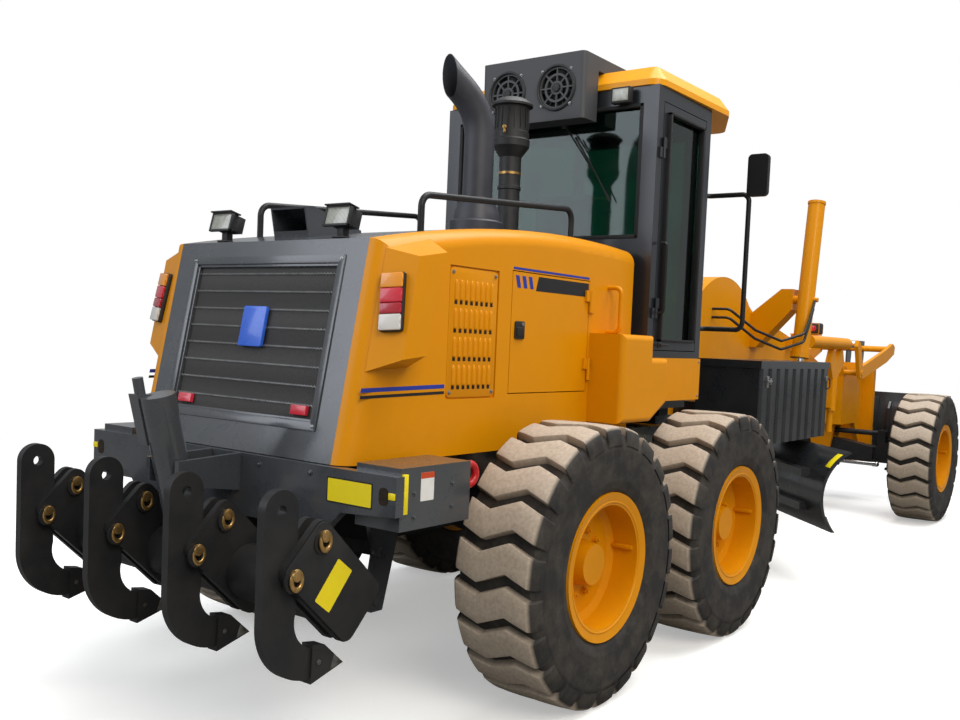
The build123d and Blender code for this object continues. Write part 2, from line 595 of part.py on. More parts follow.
# ---------------------------------------------------------------- cab
REAR_RIGHT, MID_RIGHT, NOSE_RIGHT = (CAB_REAR, -CAB_HALF), (CAB_MID, -CAB_HALF), (CAB_FRONT, -CAB_NOSE_HALF)
NOSE_LEFT, MID_LEFT, REAR_LEFT = (CAB_FRONT, CAB_NOSE_HALF), (CAB_MID, CAB_HALF), (CAB_REAR, CAB_HALF)
CAB_PLAN = (REAR_RIGHT, MID_RIGHT, NOSE_RIGHT, NOSE_LEFT, MID_LEFT, REAR_LEFT)
CAB_BASE, CAB_SILL = 1340.0, 1663.0
WINDOWS = (
    # first corner of the wall, second corner, sill, head, inset at each end
    (REAR_LEFT, REAR_RIGHT, 2380.0, 3160.0, 110.0),
    (MID_RIGHT, NOSE_RIGHT, 1760.0, 3180.0, 55.0),
    (NOSE_RIGHT, NOSE_LEFT, 1760.0, 3180.0, 55.0),
    (NOSE_LEFT, MID_LEFT, 1760.0, 3180.0, 55.0),
)
CAB_KNUCKLES = (1900.0, 2850.0)
DOORWAY = (455.0, 1040.0, 1705.0, 3185.0)       # rear, front, sill and head of both doorways


def wall_panel(first, second, low, high, inset, thickness):
    """An upright sheet in the middle of a cab wall between two corners of the plan."""
    start, end = point(*first, 0), point(*second, 0)
    along = (end - start).normalized()
    inward = Vector(0, 0, 1).cross(along)
    centre = (start + end) * 0.5 + inward * (PILLAR / 2) + Vector(0, 0, (low + high) / 2)
    with BuildPart() as made:
        with BuildSketch(Plane(origin=centre, x_dir=along, z_dir=inward)):
            Rectangle((end - start).length - 2 * inset, high - low)
        extrude(amount=thickness / 2, both=True)
    return made.part


with BuildPart() as cab_frame:
    with BuildSketch(deck(CAB_BASE)):
        with BuildLine():
            Polyline(*CAB_PLAN, close=True)
        make_face()
        offset(amount=-75, kind=Kind.INTERSECTION)
    extrude(amount=CAB_SILL - CAB_BASE)
    with BuildSketch(deck(CAB_SILL)):
        with BuildLine():
            Polyline(*CAB_PLAN, close=True)
        make_face()
    extrude(amount=CAB_TOP - CAB_SILL)
    with BuildSketch(deck(CAB_FLOOR)):
        with BuildLine():
            Polyline(*CAB_PLAN, close=True)
        make_face()
        offset(amount=-PILLAR, kind=Kind.INTERSECTION)
    extrude(amount=CAB_TOP - CAB_FLOOR - 30, mode=Mode.SUBTRACT)
    for first, second, low, high, inset in WINDOWS:
        add(wall_panel(first, second, low, high, inset, 3 * PILLAR), mode=Mode.SUBTRACT)
    add(block(DOORWAY[0], DOORWAY[1], -900, 900, DOORWAY[2], DOORWAY[3]), mode=Mode.SUBTRACT)
    for hand in (-1, 1):
        add(block(450, 600, hand * 330, hand * 430, RAIL_HIGH, CAB_BASE + 5))
        add(block(1300, 1440, hand * 330, hand * 430, HINGE_Z + EAR_GAP + EAR_T, CAB_BASE + 5))
    for hand in (-1, 1):
        for low in CAB_KNUCKLES:
            add(hinge_half(DOORWAY[0] + PANEL_GAP / 2, hand, CAB_HALF, -HINGE_LEAF, low))
    add(bar((1400, 0, CAB_FLOOR - 5), (1270, 0, 2330), 55))
    add(bar((1275, 0, 2315), (1262, 0, 2350), 205, 178))
    add(block(1255, 1280, -185, 185, 2320, 2345))
save(cab_frame.part, "cab_frame")

with BuildPart() as cab_glass:
    for first, second, low, high, inset in WINDOWS:
        add(wall_panel(first, second, low + RUN, high - RUN, inset + RUN, GLASS))
save(cab_glass.part, "cab_glass")

DOOR_FRAME, CAB_DOOR_T = 60.0, 40.0
for name, hand in (("right", -1), ("left", 1)):
    rear, front, sill, head = DOORWAY
    rear, front, sill, head = rear + PANEL_GAP, front - PANEL_GAP, sill + PANEL_GAP, head - PANEL_GAP
    with BuildPart() as door:
        add(slab(side(hand * (CAB_HALF - CAB_DOOR_T / 2)), (
            (rear, sill), (rear, head), (front, head), (front, sill)), CAB_DOOR_T))
        add(slab(side(hand * (CAB_HALF - CAB_DOOR_T / 2)), (
            (rear + DOOR_FRAME, sill + DOOR_FRAME), (rear + DOOR_FRAME, head - DOOR_FRAME),
            (front - DOOR_FRAME, head - DOOR_FRAME), (front - DOOR_FRAME, sill + DOOR_FRAME),
        ), 2 * CAB_DOOR_T), mode=Mode.SUBTRACT)
        for low in CAB_KNUCKLES:
            add(hinge_half(DOORWAY[0] + PANEL_GAP / 2, hand, CAB_HALF, HINGE_LEAF, low + HINGE_KNUCKLE + RUN))
    save(door.part, f"door_{name}")
    inner = DOOR_FRAME + RUN
    with BuildPart() as door_glass:
        add(slab(side(hand * (CAB_HALF - CAB_DOOR_T / 2)), (
            (rear + inner, sill + inner), (rear + inner, head - inner),
            (front - inner, head - inner), (front - inner, sill + inner)), GLASS))
    save(door_glass.part, f"door_glass_{name}")

ROOF_LIP = 35.0           # upright edge of the roof, below its slopes
ROOF_TOP = CAB_TOP + 120.0
with BuildPart() as cab_roof:
    with BuildSketch(deck(CAB_TOP)):
        with BuildLine():
            Polyline((CAB_REAR - 15, -CAB_HALF - 10), (CAB_MID + 200, -CAB_HALF - 30), (1760, -600),
                     (1760, 600), (CAB_MID + 200, CAB_HALF + 30), (CAB_REAR - 15, CAB_HALF + 10), close=True)
        roof_plan = make_face()
        fillet(roof_plan.vertices(), 90)
    extrude(amount=ROOF_LIP)
    extrude(cab_roof.faces().sort_by(Axis.Z)[-1], amount=ROOF_TOP - CAB_TOP - ROOF_LIP, taper=38)
save(cab_roof.part, "cab_roof")

AC_REAR, AC_HALF, AC_RISE, AC_TALL = 205.0, 385.0, 85.0, 395.0
AC_TOP = ROOF_TOP + AC_RISE
FAN_R, FAN_Y, FAN_Z = 125.0, 185.0, AC_TOP - 200.0
with BuildPart() as ac_unit:
    add(slab(side(), (
        (AC_REAR + 10, AC_TOP - AC_TALL), (AC_REAR, AC_TOP), (700, AC_TOP), (700, ROOF_TOP + RUN),
        (CAB_REAR - 17, ROOF_TOP + RUN), (CAB_REAR - 17, AC_TOP - AC_TALL)), 2 * AC_HALF))
    upright = ac_unit.edges().filter_by(lambda edge: edge.center().X < point(AC_REAR + 20, 0, 0).X)
    fillet(upright.filter_by(lambda edge: abs((edge @ 0).Z - (edge @ 1).Z) > 100), 30)
    with BuildSketch(cross(AC_REAR - 55)):
        with Locations((-FAN_Y, FAN_Z), (FAN_Y, FAN_Z)):
            Circle(FAN_R)
    extrude(amount=120, mode=Mode.SUBTRACT)
    with BuildSketch(cross(AC_REAR + 8)):
        for fan_y in (-FAN_Y, FAN_Y):
            with Locations((fan_y, FAN_Z)):
                for outer in (FAN_R + 4, FAN_R * 0.7, 42):
                    Circle(outer)
                    Circle(outer - 14, mode=Mode.SUBTRACT)
                with PolarLocations(FAN_R / 2, 8):
                    Rectangle(FAN_R, 9)
    extrude(amount=12)
save(ac_unit.part, "ac_unit")

with BuildPart() as seat:
    add(slab(side(), ((640, 2070), (580, 2700), (690, 2730), (780, 2200), (1080, 2190), (1090, 2070)),
             480, 25))
    add(bar((880, 0, CAB_FLOOR), (880, 0, 2080), 150))
save(seat.part, "seat")

# ---------------------------------------------------------------- front frame
LUG_R = 115.0
NOSE_REAR, NOSE_FRONT, NOSE_HALF = FRONT_AXLE - 289.0, FRONT_AXLE + 341.0, 260.0
NOSE_LOW, NOSE_TOP = 960.0, 1500.0
SADDLE_Y = 520.0
FRONT_LAMP_X = 4820.0
ARM_PIVOT = (FRONT_AXLE - 269.0, 1535.0)
ARM_BOSS = (FRONT_AXLE + 931.0, 1810.0)
LEVER = (FRONT_AXLE - 419.0, 1840.0)
ARM_Y, ARM_T = 430.0, 40.0
MAST_REAR, MAST_HALF, MAST_TOP = FRONT_AXLE + 671.0, 320.0, 1640.0
MAST_FRONT = MAST_REAR + 70.0
FRONT_BLADE_HALF = 1100.0
PLOUGH = MAST_FRONT + 200.0           # middle of the front blade's face
CROSS_TUBE_R = 35.0
ARM_PIN_R = 30.0
LIFT2_Y = -(ARM_Y - ARM_T / 2 - RUN - 25)
LIFT2_ROD_R = 25.0
MOTOR_X = LEVER[0] - 585.0            # bracket and hydraulic motor under the lift cylinder
ARTIC_FRONT, ARTIC_FRONT_Y = 2200.0, 330.0
with BuildPart() as front_frame:
    add(slab(deck(HINGE_Z), ((HINGE_X, -LUG_R), (2150, -BEAM_HALF), (2150, BEAM_HALF), (HINGE_X, LUG_R)),
             2 * (EAR_GAP - RUN)))
    add(bar((HINGE_X, 0, HINGE_Z - EAR_GAP + RUN), (HINGE_X, 0, HINGE_Z + EAR_GAP - RUN), LUG_R))
    with BuildSketch(side()):
        with BuildLine():
            Polyline(
                (1990, 935), (2380, 935), (2850, 1400), (3250, 1570), (4300, 1570), (NOSE_REAR - 680, 1480),
                (NOSE_REAR - 130, 1360), (NOSE_REAR, 1330), (NOSE_REAR, 1500), (4500, 1880), (3950, 1990),
                (3700, 2000), (3470, 2120),
            )
            ThreePointArc((3470, 2120), (2830, 2330), (2280, 1950))
            Polyline((2280, 1950), (2000, 1400), (1990, 935))
        make_face()
    extrude(amount=BEAM_HALF, both=True)
    add(slab(side(), (
        (NOSE_REAR, NOSE_LOW), (NOSE_REAR, NOSE_TOP), (NOSE_FRONT - 180, NOSE_TOP), (NOSE_FRONT, 1360),
        (NOSE_FRONT, NOSE_LOW),
    ), 2 * NOSE_HALF))
    for station in (FRONT_AXLE - 110, FRONT_AXLE + 110):
        add(slab(cross(station), ((-150, NOSE_LOW + 5), (150, NOSE_LOW + 5), (85, 590), (-85, 590)), 44))
    add(bar((FRONT_AXLE - 150, 0, AXLE_Z + 20), (FRONT_AXLE + 150, 0, AXLE_Z + 20), 45))
    add(bar((NOSE_REAR + 5, 0, BALL[2]), (BALL[0], 0, BALL[2]), 34))
    with Locations(point(*BALL)):
        Sphere(BALL_R)
    add(slab(cross(3600), (
        (-SADDLE_Y, LIFT_TRUNNION[1] - 90), (-BEAM_HALF - 60, 1760), (BEAM_HALF + 60, 1760),
        (SADDLE_Y, LIFT_TRUNNION[1] - 90), (SADDLE_Y, LIFT_TRUNNION[1] + 90),
        (SADDLE_Y - 100, LIFT_TRUNNION[1] + 90), (BEAM_HALF, 2060), (-BEAM_HALF, 2060),
        (-SADDLE_Y + 100, LIFT_TRUNNION[1] + 90), (-SADDLE_Y, LIFT_TRUNNION[1] + 90),
    ), 170))
    for hand in (-1, 1):
        add(block(ARTIC_FRONT - 70, ARTIC_FRONT + 70, hand * 100, hand * (ARTIC_FRONT_Y + 60),
                  ARTIC_Z + 35 + RUN, 940))
        add(slab(side(hand * 180), (
            (NOSE_FRONT - 260, NOSE_LOW + 40), (NOSE_FRONT - 260, 1480), (MAST_REAR + 10, 1560), (MAST_REAR + 10, 600),
            (NOSE_FRONT, NOSE_LOW + 40)), 50))
    add(bar((ARM_PIVOT[0], -ARM_Y - ARM_T / 2 - 10, ARM_PIVOT[1]), (ARM_PIVOT[0], ARM_Y + ARM_T / 2 + 10, ARM_PIVOT[1]),
            ARM_PIN_R))
    add(slab(side(), ((ARM_PIVOT[0] - 20, 1490), (ARM_PIVOT[0] - 60, 1600), (ARM_PIVOT[0] + 60, 1600),
                      (ARM_PIVOT[0] + 200, 1490)), 2 * NOSE_HALF))
    with BuildSketch(cross(MAST_REAR)):
        with BuildLine():
            Polyline((-MAST_HALF, 560), (-MAST_HALF, 1560), (-MAST_HALF + 80, MAST_TOP),
                     (MAST_HALF - 80, MAST_TOP), (MAST_HALF, 1560), (MAST_HALF, 560), close=True)
        make_face()
    extrude(amount=MAST_FRONT - MAST_REAR)
    for hand in (-1, 1):
        add(block(FRONT_LAMP_X - 30, FRONT_LAMP_X + 30, hand * 60, hand * 100, 1720, 1914))
        add(block(FRONT_LAMP_X - 50, FRONT_LAMP_X + 50, hand * 60, hand * 350, 1906, 1918))
        add(slab(cross(FRONT_LAMP_X), ((hand * 235, 1918), (hand * 235, 2025), (hand * 355, 2025), (hand * 355, 1918)),
                 120, 18))
    add(bar((LEVER[0] - 1400, LIFT2_Y, LEVER[1]), (LEVER[0] - 240, LIFT2_Y, LEVER[1]), 60))
    add(block(LEVER[0] - 1380, LEVER[0] - 1300, LIFT2_Y, 0, LEVER[1] - 60, LEVER[1] + 20))
    add(block(MOTOR_X - 40, MOTOR_X + 40, LIFT2_Y + 20, 0, 1400, 1470))
    add(slab(side(LIFT2_Y + 20), (
        (MOTOR_X - 80, 1180), (MOTOR_X - 60, 1470), (MOTOR_X - 160, 1640), (MOTOR_X - 70, LEVER[1] - 30),
        (MOTOR_X + 30, 1640), (MOTOR_X + 200, LEVER[1] - 30), (MOTOR_X + 280, 1640), (MOTOR_X + 60, 1470),
        (MOTOR_X + 70, 1180)), 60))
    add(bar((MOTOR_X, LIFT2_Y + 20, 930), (MOTOR_X, LIFT2_Y + 20, 1200), 30))
    add(bar((MOTOR_X, LIFT2_Y + 20, 1150), (MOTOR_X, LIFT2_Y + 20, 1480), 52))
    add(bar((LEVER[0] - 1190, LIFT2_Y, LEVER[1]), (LEVER[0] - 100, LIFT2_Y, LEVER[1]), LIFT2_ROD_R + PIN_FIT),
        mode=Mode.SUBTRACT)
    add(bar((LIFT_TRUNNION[0], -SADDLE_Y - 60, LIFT_TRUNNION[1]),
            (LIFT_TRUNNION[0], SADDLE_Y + 60, LIFT_TRUNNION[1]), 36 + PIN_FIT), mode=Mode.SUBTRACT)
    add(bar((HINGE_X, 0, HINGE_Z - 200), (HINGE_X, 0, HINGE_Z + 200), HINGE_PIN_R + PIN_FIT),
        mode=Mode.SUBTRACT)
save(front_frame.part, "front_frame")

# ---------------------------------------------------------------- ribbed tool boxes on the front frame
BOX_REAR, BOX_FRONT, BOX_IN, BOX_OUT, BOX_LOW, BOX_TOP = 1830.0, 3310.0, 450.0, 950.0, 1050.0, 1660.0
with BuildPart() as tool_boxes:
    add(block(BOX_REAR, BOX_FRONT, -BOX_OUT + 15, -BOX_IN, BOX_LOW, BOX_TOP))
    add(block(BOX_REAR - 8, BOX_FRONT + 8, -BOX_OUT, -BOX_IN, BOX_TOP - 55, BOX_TOP))
    for step in range(9):
        middle = BOX_REAR + 80 + step * 165
        add(slab(deck((BOX_LOW + BOX_TOP - 55) / 2), (
            (middle - 60, -BOX_OUT + 16), (middle - 45, -BOX_OUT), (middle + 45, -BOX_OUT),
            (middle + 60, -BOX_OUT + 16),
        ), BOX_TOP - BOX_LOW - 55))
    add(block(2080, 2280, -BOX_IN, -BEAM_HALF, 1180, 1320))
    add(block(2980, 3100, -BOX_IN, -BEAM_HALF, 1580, 1640))
    mirror(about=Plane.XZ)
save(tool_boxes.part, "tool_boxes")

# ---------------------------------------------------------------- front axle and steering
AXLE_W = 170.0
with BuildPart() as front_axle:
    add(slab(cross(FRONT_AXLE), (
        (-LEAN_Y + 20, AXLE_Z - 60), (-250, AXLE_Z - 90), (250, AXLE_Z - 90), (LEAN_Y - 20, AXLE_Z - 60),
        (LEAN_Y - 20, AXLE_Z + 60), (200, AXLE_Z + 130), (-200, AXLE_Z + 130), (-LEAN_Y + 20, AXLE_Z + 60),
    ), AXLE_W))
    for hand in (-1, 1):
        add(bar((FRONT_AXLE - 40, hand * LEAN_Y, AXLE_Z), (FRONT_AXLE + 40, hand * LEAN_Y, AXLE_Z), 75))
        add(block(FRONT_AXLE - 100, FRONT_AXLE - 40, hand * (LEAN_Y - 80), hand * 1200, 400, 900),
            mode=Mode.SUBTRACT)
        add(block(FRONT_AXLE + 40, FRONT_AXLE + 100, hand * (LEAN_Y - 80), hand * 1200, 400, 900),
            mode=Mode.SUBTRACT)
        add(bar((FRONT_AXLE - 80, hand * LEAN_Y, AXLE_Z), (FRONT_AXLE + 80, hand * LEAN_Y, AXLE_Z), 28))
    add(bar((FRONT_AXLE - STEER_ARM, -240, STEER_Z), (FRONT_AXLE - STEER_ARM, 240, STEER_Z), 52))
    for hand in (-1, 1):
        add(block(FRONT_AXLE - STEER_ARM, FRONT_AXLE - 80, hand * 205, hand * 235, STEER_Z - 30, 640))
    add(bar((FRONT_AXLE - STEER_ARM, -300, STEER_Z), (FRONT_AXLE - STEER_ARM, 300, STEER_Z), 22 + PIN_FIT),
        mode=Mode.SUBTRACT)
    add(bar((FRONT_AXLE - 200, 0, AXLE_Z + 20), (FRONT_AXLE + 200, 0, AXLE_Z + 20), 45 + PIN_FIT),
        mode=Mode.SUBTRACT)
save(front_axle.part, "front_axle")

with BuildPart() as tie_rod:
    add(bar((FRONT_AXLE - STEER_ARM, -610, STEER_Z), (FRONT_AXLE - STEER_ARM, 610, STEER_Z), 22))
    for hand in (-1, 1):
        add(bar((FRONT_AXLE - STEER_ARM, hand * 600, STEER_Z), (FRONT_AXLE - STEER_ARM, hand * 640, STEER_Z), 27))
        with Locations(point(FRONT_AXLE - STEER_ARM, hand * 645, STEER_Z)):
            Sphere(28)
save(tie_rod.part, "tie_rod")

KNUCKLE_LOW, KNUCKLE_HIGH = 545.0, 795.0
for name, hand in (("right", -1), ("left", 1)):
    with BuildPart() as lean_carrier:
        add(bar((FRONT_AXLE, hand * KINGPIN_Y, KNUCKLE_LOW + RUN),
                (FRONT_AXLE, hand * KINGPIN_Y, KNUCKLE_HIGH - RUN), 55))
        for low, high in ((FRONT_AXLE - 76, FRONT_AXLE - 42), (FRONT_AXLE + 42, FRONT_AXLE + 76)):
            add(slab(cross((low + high) / 2), (
                (hand * (LEAN_Y - 45), AXLE_Z - 45), (hand * (LEAN_Y + 40), AXLE_Z - 75),
                (hand * KINGPIN_Y, AXLE_Z - 90), (hand * KINGPIN_Y, AXLE_Z + 120),
                (hand * (LEAN_Y + 45), AXLE_Z + 125), (hand * (LEAN_Y + 35), LEAN_BAR_Z + 40),
                (hand * (LEAN_Y - 35), LEAN_BAR_Z + 40),
            ), high - low))
        add(block(FRONT_AXLE - 76, FRONT_AXLE + 76, hand * (LEAN_Y + 78), hand * KINGPIN_Y,
                  AXLE_Z - 85, AXLE_Z + 85))
        add(bar((FRONT_AXLE - 100, hand * LEAN_Y, AXLE_Z), (FRONT_AXLE + 100, hand * LEAN_Y, AXLE_Z),
                28 + PIN_FIT), mode=Mode.SUBTRACT)
        add(bar((FRONT_AXLE, hand * KINGPIN_Y, 400), (FRONT_AXLE, hand * KINGPIN_Y, 900),
                KINGPIN_R + PIN_FIT), mode=Mode.SUBTRACT)
    save(lean_carrier.part, f"lean_carrier_{name}")
    with BuildPart() as knuckle:
        add(bar((FRONT_AXLE, hand * KINGPIN_Y, KNUCKLE_LOW - 35),
                (FRONT_AXLE, hand * KINGPIN_Y, KNUCKLE_HIGH + 35), KINGPIN_R))
        for low, high in ((KNUCKLE_LOW - 35, KNUCKLE_LOW), (KNUCKLE_HIGH, KNUCKLE_HIGH + 35)):
            add(bar((FRONT_AXLE, hand * KINGPIN_Y, low), (FRONT_AXLE, hand * KINGPIN_Y, high), 70))
            add(block(FRONT_AXLE - 70, FRONT_AXLE + 70, hand * KINGPIN_Y, hand * 905, low, high))
        add(block(FRONT_AXLE - 75, FRONT_AXLE + 75, hand * 860, hand * 905, KNUCKLE_LOW - 35,
                  KNUCKLE_HIGH + 35))
        add(bar((FRONT_AXLE, hand * 900, TYRE_R), (FRONT_AXLE, hand * 1015, TYRE_R), 105))
        add(bar((FRONT_AXLE, hand * 900, TYRE_R), (FRONT_AXLE, hand * (WHEEL_Y + 80), TYRE_R), SPINDLE_R))
        add(block(FRONT_AXLE - STEER_ARM - 35, FRONT_AXLE, hand * (KINGPIN_Y - 30), hand * (KINGPIN_Y + 30),
                  KNUCKLE_LOW - 35, KNUCKLE_LOW - 10))
    save(knuckle.part, f"knuckle_{name}")

with BuildPart() as lean_bar:
    add(bar((FRONT_AXLE, -LEAN_Y + 40, LEAN_BAR_Z), (FRONT_AXLE, LEAN_Y - 40, LEAN_BAR_Z), 28))
    for hand in (-1, 1):
        add(slab(side(hand * LEAN_Y), (
            (FRONT_AXLE - 42 + RUN, LEAN_BAR_Z - 28), (FRONT_AXLE + 42 - RUN, LEAN_BAR_Z - 28),
            (FRONT_AXLE + 42 - RUN, LEAN_BAR_Z + 28), (FRONT_AXLE - 42 + RUN, LEAN_BAR_Z + 28),
        ), 84))
save(lean_bar.part, "lean_bar")

# ---------------------------------------------------------------- drawbar
with BuildPart() as drawbar:
    for hand in (-1, 1):
        add(slab(deck((CIRCLE_HIGH + RUN) + DRAWBAR_T / 2), (
            (BALL[0] - 60, 0), (BALL[0] - 60, hand * 75), (3500, hand * 520), (3340, hand * 520), (3340, hand * 370),
            (3500, hand * 370), (BALL[0] - 260, 0),
        ), DRAWBAR_T))
        add(slab(side(hand * (LIFT_Y - 60)), (
            (3370, CIRCLE_HIGH + RUN), (3520, CIRCLE_HIGH + RUN), (LIFT_EYE[0] + 45, LIFT_EYE[1] + 50),
            (LIFT_EYE[0] - 45, LIFT_EYE[1] + 50),
        ), 40))
        for station in (3500, 4000):
            add(block(station - 40, station + 40, hand * 380, hand * 400, CIRCLE_HIGH + RUN, CIRCLE_HIGH + 60))
    add(block(3350, 3500, -LIFT_Y + 70, LIFT_Y - 70, CIRCLE_HIGH + RUN, CIRCLE_HIGH + RUN + DRAWBAR_T))
    add(block(4050, 4200, -460, 460, CIRCLE_HIGH + RUN, CIRCLE_HIGH + RUN + DRAWBAR_T))
    add(bar((BALL[0] - 80, 0, BALL[2]), (BALL[0] + 25, 0, BALL[2]), 98))
    with Locations(point(*BALL)):
        Sphere(BALL_R + RUN, mode=Mode.SUBTRACT)
    add(bar((4120, 0, CIRCLE_HIGH + 50), (4120, 0, CIRCLE_HIGH + 250), 105))
save(drawbar.part, "drawbar")

# ---------------------------------------------------------------- circle and blade
BLADE_PLANE_X = Vector(math.sin(math.radians(BLADE_HEADING)), -math.cos(math.radians(BLADE_HEADING)), 0)
BLADE_PLANE_U = Vector(math.cos(math.radians(BLADE_HEADING)), math.sin(math.radians(BLADE_HEADING)), 0)


def blade_side(along):
    """Upright plane across the blade: sketch x runs forward from the circle's axis, sketch y is height."""
    return Plane(origin=point(CIRCLE_X, 0, 0) + BLADE_PLANE_U * along, x_dir=BLADE_PLANE_X,
                 z_dir=-BLADE_PLANE_U)


def blade_slab(along, outline, thickness):
    """A plate across the blade, centred at a distance along it."""
    return slab(blade_side(along), outline, thickness)


def blade_bar(along0, along1, forward, height, radius, bore=0.0):
    """A round bar along the blade."""
    with BuildPart() as made:
        with BuildSketch(blade_side(along0)):
            with Locations((forward, height)):
                Circle(radius)
                if bore:
                    Circle(bore, mode=Mode.SUBTRACT)
        extrude(amount=-(along1 - along0))
    return made.part


ARM_U = 430.0
TIP_AT = (-250.0, 570.0)  # blade tip pivot: behind the circle's axis, and height
TIP_PIN_R = 30.0
SHIFT_RAILS = (555.0, 815.0)          # heights of the moldboard's two rails
with BuildPart() as circle:
    with BuildSketch(Plane(origin=point(CIRCLE_X, 0, CIRCLE_LOW))):
        Circle(CIRCLE_R)
        Circle(CIRCLE_R - CIRCLE_WALL, mode=Mode.SUBTRACT)
        with PolarLocations(CIRCLE_R - CIRCLE_WALL, CIRCLE_TEETH):
            Trapezoid(44, 30, 72, rotation=-90, mode=Mode.SUBTRACT)
    extrude(amount=CIRCLE_HIGH - CIRCLE_LOW)
    for hand in (-1, 1):
        add(blade_slab(hand * ARM_U, (
            (-400, CIRCLE_LOW + 5), (-160, CIRCLE_LOW + 5), (-225, 900), (TIP_AT[0] + 45, TIP_AT[1]),
            (TIP_AT[0] + 25, TIP_AT[1] - 45), (TIP_AT[0] - 40, TIP_AT[1] - 45), (-330, 780),
        ), 60))
        add(blade_bar(hand * ARM_U - 90, hand * ARM_U + 90, TIP_AT[0], TIP_AT[1], TIP_PIN_R))
    add(blade_bar(-ARM_U, ARM_U, -290, 1000, 45))
save(circle.part, "circle")

with BuildPart() as blade_carrier:
    for hand in (-1, 1):
        for offset_u in (-52, 52):
            add(blade_slab(hand * ARM_U + offset_u, (
                (TIP_AT[0] - 60, TIP_AT[1] - 40), (TIP_AT[0] - 30, TIP_AT[1] - 60),
                (-130, TIP_AT[1] - 60), (-130, TIP_AT[1] + 300), (-165, TIP_AT[1] + 300),
                (-200, TIP_AT[1] + 60), (TIP_AT[0] - 40, TIP_AT[1] + 55),
            ), 40))
        add(blade_bar(hand * ARM_U - 120, hand * ARM_U + 120, TIP_AT[0], TIP_AT[1], TIP_PIN_R + PIN_FIT),
            mode=Mode.SUBTRACT)
    for height in SHIFT_RAILS:
        add(blade_slab(0, ((-150, height - 35), (-126, height - 35), (-126, height + 35),
                           (-150, height + 35)), 2 * ARM_U + 144))
        for hand in (-1, 1):
            for edge in (-1, 1):
                add(blade_slab(hand * ARM_U, (
                    (-150, height + edge * (30 + RUN)), (-90, height + edge * (30 + RUN)),
                    (-90, height + edge * 52), (-150, height + edge * 52)), 144))
save(blade_carrier.part, "blade_carrier")

BLADE_OUT = BLADE_LENGTH / 2
with BuildPart() as moldboard:
    with BuildSketch(blade_side(BLADE_OFFSET - BLADE_OUT)):
        with BuildLine():
            ThreePointArc((40, BLADE_EDGE), (-58, 690), (150, BLADE_TOP))
            Line((150, BLADE_TOP), (130, BLADE_TOP + 12))
            ThreePointArc((130, BLADE_TOP + 12), (-80, 685), (18, BLADE_EDGE))
            Line((18, BLADE_EDGE), (40, BLADE_EDGE))
        make_face()
    extrude(amount=-BLADE_LENGTH)
    for height in SHIFT_RAILS:
        add(blade_slab(BLADE_OFFSET, ((-125, height - 30), (-50, height - 30), (-50, height + 30),
                                      (-125, height + 30)), BLADE_LENGTH - 500))
save(moldboard.part, "moldboard")

# ---------------------------------------------------------------- blade lift cylinders
LIFT_RUN = math.dist(LIFT_TRUNNION, LIFT_EYE)
LIFT_DIR = ((LIFT_EYE[0] - LIFT_TRUNNION[0]) / LIFT_RUN, (LIFT_EYE[1] - LIFT_TRUNNION[1]) / LIFT_RUN)


def on_lift(distance):
    """Station and height on the lift cylinders' line, counted from the trunnion towards the eye."""
    return LIFT_TRUNNION[0] + LIFT_DIR[0] * distance, LIFT_TRUNNION[1] + LIFT_DIR[1] * distance


def lift_point(distance, hand):
    station, height = on_lift(distance)
    return station, hand * LIFT_Y, height


BARREL_R, BARREL_BORE, ROD_R = 72.0, 55.0, 38.0
with BuildPart() as lift_barrels:
    for hand in (-1, 1):
        add(bar(lift_point(-870, hand), lift_point(510, hand), BARREL_R))
        add(bar(lift_point(462, hand), lift_point(512, hand), BARREL_R + 9))
        add(bar(lift_point(-872, hand), lift_point(-850, hand), BARREL_R + 5))
        add(bar((LIFT_TRUNNION[0], hand * (SADDLE_Y - 90), LIFT_TRUNNION[1]),
                (LIFT_TRUNNION[0], hand * LIFT_Y, LIFT_TRUNNION[1]), 36))
        add(bar((LIFT_TRUNNION[0], hand * LIFT_Y, LIFT_TRUNNION[1]),
                (LIFT_TRUNNION[0], hand * (LIFT_Y + 105), LIFT_TRUNNION[1]), 20))
        add(bar(lift_point(-840, hand), lift_point(520, hand), ROD_R + PIN_FIT), mode=Mode.SUBTRACT)
save(lift_barrels.part, "lift_barrels")

with BuildPart() as lift_rods:
    for hand in (-1, 1):
        add(bar(lift_point(-800, hand), lift_point(LIFT_RUN - 50, hand), ROD_R))
        add(slab(side(hand * LIFT_Y), (
            (LIFT_EYE[0] - 48, LIFT_EYE[1] - 48), (LIFT_EYE[0] + 48, LIFT_EYE[1] - 48),
            (LIFT_EYE[0] + 58, LIFT_EYE[1] + 60), (LIFT_EYE[0] - 38, LIFT_EYE[1] + 60),
        ), 80 - 2 * RUN))
save(lift_rods.part, "lift_rods")

